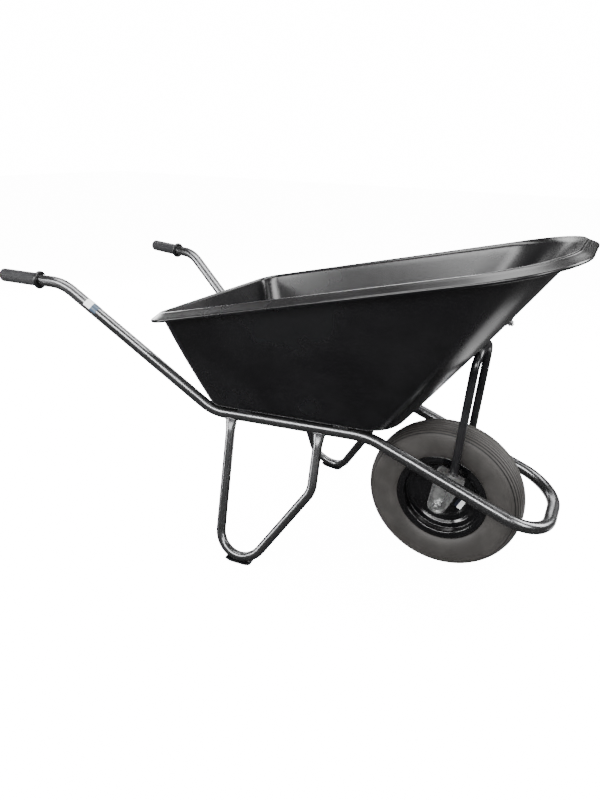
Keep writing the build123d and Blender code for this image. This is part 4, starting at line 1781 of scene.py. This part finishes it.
    def washer_and_nut(self, side: Side, face: float) -> None:
        """The washer and nut on one end of the axle; the left pair stands for the frame's nodes.

        Args:
            side: the end.
            face: the bracket's outer face, from the barrow's middle.
        """
        (r, thick), edge = self.washer, self.washer_edge
        bore = self.axle_r + 0.4
        ring = [
            (bore, 0),
            (r - edge, 0),
            (r, edge),
            (r, thick - edge),
            (r - edge, thick),
            (bore, thick),
        ]
        hidden = side is Side.LEFT
        name = f"axle_washer_{side.word}"
        piece = lathe(name, ring, self.axle_line(side, face + 0.05), 64)
        piece.data.set_sharp_from_angle(angle=SHARP)
        dress(piece, ZINC, Body.FRAME, *(("axle_washers",) if hidden else ()))
        place = self.axle_line(side, face + thick + 0.1)
        name, bore = f"axle_nut_{side.word}", self.axle_r + 0.05
        nut = self.hex_nut(name, self.nut_across, self.nut_height, bore, place)
        dress(nut, ZINC, Body.FRAME, *(("axle_nuts",) if hidden else ()))

    def small_parts(self) -> None:
        """Sleeve, collars and tray fasteners, their edges rounded."""
        parts = (
            ("axle_sleeve", ZINC, 0.3),
            ("distance_collars", ZINC, 0.6),
            ("tray_front_bolt", ZINC, 0.2),
            ("tray_front_washer", HOOP_PAINT, 0.6),
            ("tray_front_nut", ZINC, 0.5),
            ("tray_floor_bolts", ZINC, 0.2),
            ("tray_floor_washers", ZINC, 0.3),
            ("tray_floor_nuts", ZINC, 0.5),
        )
        for node, finish, width in parts:
            piece = softened(node, f"{node}_finished", width)
            dress(piece, finish, Body.FRAME, node)

    def build(self) -> None:
        """Makes everything in front of the tray."""
        self.hoop()
        self.hoop_welds()
        self.brackets()
        self.axle()
        self.small_parts()


# ---------------------------------------------------------------- wheel
@dataclass
class Wheel:
    """Ribbed tyre, pressed rim, hub and bushes."""

    tyre_r: float = 200.0
    half_width: float = 48.6
    widest_r: float = 160.7
    roundness: float = 2.4
    flange_r: float = 117.0
    flange_y: float = 33.5
    seat_r: float = 101.6
    sheet: float = 2.4
    hub_r: float = 19.0
    hub_half: float = 33.0
    hub_wall: float = 3.0
    hub_edge: float = 0.6
    rib_pitch: float = 7.6
    rib_height: float = 2.6
    rib_count: int = 6
    groove: Flat = (0.3, 0.72)
    shoulder_lines: tuple[Flat, ...] = ((3.0, 5.2), (7.0, 8.6))
    line_height: float = 0.7
    tread_steps: int = 240
    cheek_steps: int = 24
    cheek_pull: Flat = (14.0, 0.5)
    cheek_foot: Flat = (0.4, 2.0)
    foot_edge: float = 2.4
    well_y: float = 10.05
    ridge_r: float = 86.3
    shoulder_r: float = 80.3
    disc_y: float = 4.7
    disc_r: float = 66.3
    centre_r: float = 60.2
    swage_r: tuple[float, ...] = (36.0, 32.0, 27.0, 23.0)
    swage_rise: float = 1.6
    weld_gap: float = 0.8
    label_lean: float = -25.0
    label_half: float = 13.5
    label_corner: float = 1.2

    def bulge(self, angle: float) -> Vector:
        """Point of the smooth tyre's section.

        Args:
            angle: 90 degrees at the crown, 0 at the widest.

        Returns:
            Its radius and Y.
        """
        power = 2 / self.roundness
        height = self.tyre_r - self.widest_r
        radius = self.widest_r + height * math.sin(math.radians(angle)) ** power
        return Vector((radius, self.half_width * math.cos(math.radians(angle)) ** power))

    def smooth_tread(self) -> Ring:
        """The smooth tyre's section, from the crown to the widest point."""
        steps = self.tread_steps
        return [self.bulge(90 - 90 * (step / steps)) for step in range(steps + 1)]

    def depth(self, length: float) -> float:
        """How far the tread stands out of the smooth section, less than 0 in a groove.

        Args:
            length: distance from the crown, along the section.

        Returns:
            The distance.
        """
        first = self.rib_pitch / 2
        last = first + self.rib_pitch * self.rib_count
        if any(last + low < length < last + high for low, high in self.shoulder_lines):
            return self.line_height
        start, end = self.groove
        phase = (length - first) / self.rib_pitch % 1
        return -self.rib_height if first < length < last and start < phase < end else 0.0

    def tread(self) -> list[Flat]:
        """Left half of the outer section, crown to sidewall, with its fine ribs.

        Returns:
            The points, as (radius, Y).
        """
        smooth = self.smooth_tread()
        length = 0.0
        points = []
        for i, point in enumerate(smooth):
            before, after = smooth[max(i - 1, 0)], smooth[min(i + 1, self.tread_steps)]
            along = (after - before).normalized()
            length += (point - smooth[max(i - 1, 0)]).length
            points.append(tuple(point + Vector((along.y, -along.x)) * self.depth(length)))
        return points

    def tyre(self) -> None:
        """Tyre with fine round-going ribs on its shoulders."""
        lip = self.flange_r + self.cheek_foot[0]
        widest = Vector((self.widest_r, self.half_width))
        end = Vector((lip, self.flange_y + self.cheek_foot[1]))
        out, back = self.cheek_pull
        control = Vector((lip + out, self.half_width - back))
        cheek = []
        for step in range(1, self.cheek_steps + 1):
            u = step / self.cheek_steps
            cheek.append(tuple(widest * (1 - u) ** 2 + control * 2 * u * (1 - u) + end * u * u))
        foot_y, edge = self.flange_y - self.sheet - 0.2, self.foot_edge
        base = self.seat_r + 0.4
        foot = [(lip, foot_y), (base + edge, foot_y), (base, foot_y - edge)]
        half = self.tread() + cheek + foot
        profile = half + [(r, -y) for r, y in half[:0:-1]]
        piece = lathe("ribbed_tyre", profile, GROUND.about_axle(), 160)
        # marks the grooves where the tyre's finish lays painted shade
        self.mark_grooves(piece)
        dress(piece, TYRE_RUBBER, Body.WHEEL, "tyre")

    def mark_grooves(self, piece: bpy.types.Object) -> None:
        """Marks the points in the tread's grooves with 1, the others with 0, for the painted shade
        there.

        Args:
            piece: the tyre.
        """
        shade_marks = []
        outline = self.smooth_tread()[::4]
        for vertex in piece.data.vertices:
            x = vertex.co.x / MM - GROUND.axle_x
            z = vertex.co.z / MM - GROUND.axle_z
            spot = Vector((math.hypot(x, z), abs(vertex.co.y / MM)))
            gap = min((spot - point).length for point in outline)
            deep = spot.x > self.widest_r and gap > 0.75 * self.rib_height
            shade_marks.append(1.0 if deep else 0.0)
        layer = piece.data.attributes.new("groove", "FLOAT", "POINT")
        layer.data.foreach_set("value", shade_marks)

    def rim_half(self, side: Side) -> None:
        """One pressed half: rolled flange, seat, ridge and dished disc.

        Args:
            side: the half.
        """
        half = self.sheet / 2
        seat, flat, high = self.seat_r - half, half + 0.1, half + self.swage_rise
        line = [
            (self.flange_r, self.flange_y + 0.4),
            (self.flange_r - 4.0, self.flange_y - half),
            (seat, self.flange_y - half),
            (seat, self.well_y),
            (self.ridge_r, self.well_y),
            (self.shoulder_r, self.disc_y),
            (self.disc_r, self.disc_y),
            (self.centre_r, flat),
            *zip(self.swage_r, (flat, high, high, flat)),
            (self.hub_r + 0.1, flat),
        ]
        radii = [0.0, 2.4, 3.0, 3.4, 2.6, 2.6, 2.6, 2.6, 2.0, 1.6, 1.6, 2.0, 0.0]
        section = thickened(rounded(line, radii, closed=False), self.sheet)
        profile = [(r, y * side.value) for r, y in section]
        piece = lathe(f"rim_{side.word}", profile, GROUND.about_axle(), 144)
        dress(piece, RIM_PAINT, Body.WHEEL, f"rim_half_{side.word}")

    def hub(self) -> None:
        """Hub tube and its two flanged bushes."""
        outer, end, edge = self.hub_r, self.hub_half, self.hub_edge
        inner = outer - self.hub_wall
        half = [(outer, end - edge), (outer - edge, end), (inner, end)]
        tube = [(r, -y) for r, y in reversed(half)] + half
        piece = lathe("hub_barrel", tube, GROUND.about_axle(), 72)
        piece.data.set_sharp_from_angle(angle=SHARP)
        dress(piece, RIM_PAINT, Body.WHEEL, "hub_tube")
        for side in Side:
            node = f"bush_{side.word}"
            dress(softened(node, f"{node}_flanged", 0.4), NYLON, Body.WHEEL, node)

    def hub_weld(self, bender: TubeBender) -> None:
        """Beads between the hub and the rim's two discs.

        Args:
            bender: draws the weld beads.
        """
        ahead, up = Vector((1, 0, 0)), Vector((0, 0, 1))
        loops = []
        for side in Side:
            centre = Vector((0, (self.sheet + 0.5) * side.value, GROUND.axle_z))
            loops.append(circle(centre, ahead, up, self.hub_r + self.weld_gap, 48))
        dress(bender.weld("hub_welds", loops, RIM_PAINT, 2.2), RIM_PAINT, Body.WHEEL)

    def label(self) -> None:
        """Blank two-part label on the right disc: a navy patch and a white block."""
        lean, half = math.radians(self.label_lean), self.label_half
        out = Vector((math.cos(lean), 0, math.sin(lean)))
        across = Vector((-math.sin(lean), 0, math.cos(lean)))
        # name, inner end, outer end, finish
        blocks = (("navy", 38.0, 46.0, LABEL_NAVY), ("white", 46.2, 58.0, LABEL_WHITE))
        for word, near, far, finish in blocks:
            corners = [(near, -half), (far, -half), (far, half), (near, half)]
            ring = rounded(corners, [self.label_corner] * 4, 4)
            rings = []
            for y in (-self.sheet - 0.15, -self.sheet - 0.5):
                middle = Vector((0, y, GROUND.axle_z))
                rings.append([GROUND.place(middle + out * a + across * b) for a, b in ring])
            piece = skin(f"rim_label_{word}", rings, capped=True)
            piece.data.set_sharp_from_angle(angle=SHARP)
            dress(piece, finish, Body.WHEEL)

    def build(self, bender: TubeBender) -> None:
        """Makes the wheel.

        Args:
            bender: draws the weld beads.
        """
        self.tyre()
        for side in Side:
            self.rim_half(side)
        self.hub()
        self.hub_weld(bender)
        self.label()


# ---------------------------------------------------------------- studio
@dataclass(frozen=True)
class Softbox:
    """A rectangular light that the camera doesn't see; sizes in metres, power in watts."""

    name: str
    spot: tuple[float, float, float]
    size: Flat
    watts: float
    aim: tuple[float, float, float] = (0.1, 0.0, 0.4)

    def hang(self) -> None:
        """Puts the light in the scene, facing its aim."""
        data = bpy.data.lights.new(self.name, "AREA")
        data.shape = "RECTANGLE"
        data.size, data.size_y = self.size
        data.energy = self.watts
        light = bpy.data.objects.new(self.name, data)
        bpy.context.scene.collection.objects.link(light)
        place = Vector(self.spot)
        turn = (place - Vector(self.aim)).to_track_quat("Z", "Y")
        light.visible_camera = False
        light.matrix_world = Matrix.Translation(place) @ turn.to_matrix().to_4x4()


SOFTBOXES = (
    Softbox("overhead", (0.0, 0.2, 3.2), (3.4, 1.2), 140),
    Softbox("rear_strip", (-0.6, 3.0, 2.4), (3.4, 1.0), 70),
    Softbox("front_left", (2.6, 1.5, 1.9), (1.4, 1.6), 100),
    Softbox("front_right", (2.8, -0.9, 1.6), (0.8, 1.4), 45),
    Softbox("near_high", (0.2, -2.8, 2.2), (4.2, 0.7), 200),
    Softbox("rear_left", (-2.8, 1.6, 1.3), (0.9, 1.4), 45),
    Softbox("near_left", (-2.4, -2.0, 1.0), (0.7, 1.8), 70),
    Softbox("low_front", (0.75, 0.38, 0.02), (0.7, 0.5), 2.4, aim=(0.75, 0.38, 2.0)),
)


@dataclass
class Studio:
    """Pale floor, soft lights and the camera."""

    eye: tuple[float, float, float] = (276.35, -1355.1, 1031.3)
    azimuth: float = 0.48138
    elevation: float = 0.41143
    roll: float = 0.02593
    lens: float = 26.74
    backdrop: float = 16.0
    fill: float = 0.52
    gloss: float = 0.06
    floor_half: float = 14.0
    floor_glow: float = 14.0
    floor_white: Colour = (0.9, 0.9, 0.9)
    floor_dim: Colour = (0.03, 0.03, 0.03)
    floor_rough: float = 0.9
    floor_specular: float = 0.1

    def camera(self) -> None:
        """The camera, off the barrow's right side and a little above its rim."""
        a, e, roll = self.azimuth, self.elevation, self.roll
        ahead = Vector((-math.sin(a) * math.cos(e), math.cos(a) * math.cos(e), -math.sin(e)))
        level = Vector((math.cos(a), math.sin(a), 0))
        rise = level.cross(ahead)
        right = level * math.cos(roll) + rise * math.sin(roll)
        up = rise * math.cos(roll) - level * math.sin(roll)
        data = bpy.data.cameras.new("camera")
        data.lens = self.lens
        data.clip_end = 60.0
        camera = bpy.data.objects.new("camera", data)
        bpy.context.scene.collection.objects.link(camera)
        turn = Matrix((right, up, -ahead)).transposed().to_4x4()
        camera.matrix_world = Matrix.Translation(GROUND.place(self.eye)) @ turn
        bpy.context.scene.camera = camera

    def surround(self) -> None:
        """White to the eye, dimmer where it lights and is reflected."""
        world = bpy.data.worlds.new("surround")
        bpy.context.scene.world = world
        world.use_nodes = True
        nodes = Nodes(world.node_tree)
        back = world.node_tree.nodes["Background"]
        path = nodes.add("ShaderNodeLightPath")
        seen = nodes.spread(path.outputs["Is Camera Ray"], 0.0, 1.0, self.fill, self.backdrop)
        drop = nodes.spread(path.outputs["Is Glossy Ray"], 0.0, 1.0, 0.0, self.gloss - self.fill)
        back.inputs["Color"].default_value = (1.0, 1.0, 1.0, 1.0)
        nodes.link(nodes.math("ADD", seen, drop), back.inputs["Strength"])

    def floor(self) -> None:
        """A pale matt floor, white to the eye and dim in reflections."""
        mesh = bpy.data.meshes.new("floor")
        half = self.floor_half
        corners = [(-half, -half, 0), (half, -half, 0), (half, half, 0), (-half, half, 0)]
        mesh.from_pydata(corners, [], [(0, 1, 2, 3)])
        floor = mesh_object("floor", mesh)
        paper = bpy.data.materials.new("floor_paper")
        paper.use_nodes = True
        shader = paper.node_tree.nodes["Principled BSDF"]
        nodes = Nodes(paper.node_tree)
        path = nodes.add("ShaderNodeLightPath")
        stops = [(0.0, self.floor_white), (1.0, self.floor_dim)]
        nodes.link(nodes.ramp(path.outputs["Is Glossy Ray"], stops), shader.inputs["Base Color"])
        glow = nodes.spread(path.outputs["Is Camera Ray"], 0.0, 1.0, 0.0, self.floor_glow)
        nodes.link(glow, shader.inputs["Emission Strength"])
        shader.inputs["Emission Color"].default_value = (1, 1, 1, 1)
        shader.inputs["Roughness"].default_value = self.floor_rough
        shader.inputs["Specular IOR Level"].default_value = self.floor_specular
        mesh.materials.append(paper)

    def build(self) -> None:
        """Sets up the studio."""
        self.camera()
        for softbox in SOFTBOXES:
            softbox.hang()
        self.surround()
        self.floor()


def main() -> None:
    """Builds the wheelbarrow's looks and its studio."""
    logging.basicConfig(level=logging.INFO, format="%(name)s %(message)s")
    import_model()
    GROUND.measure()
    Studio().build()
    bender = TubeBender()
    FrameWork(bender).build()
    floor = Plan(
        rear=-609.9, front=-115.0, rear_half=199.8, front_half=150.0, rear_r=47.0, front_r=88.0
    )
    crest = Plan(
        rear=-705.5, front=210.4, rear_half=271.4, front_half=246.5, rear_r=44.0, front_r=179.0
    )
    Tray(floor, crest).build()
    FrontEnd(bender).build()
    Wheel().build(bender)


if __name__ == "__main__":
    main()
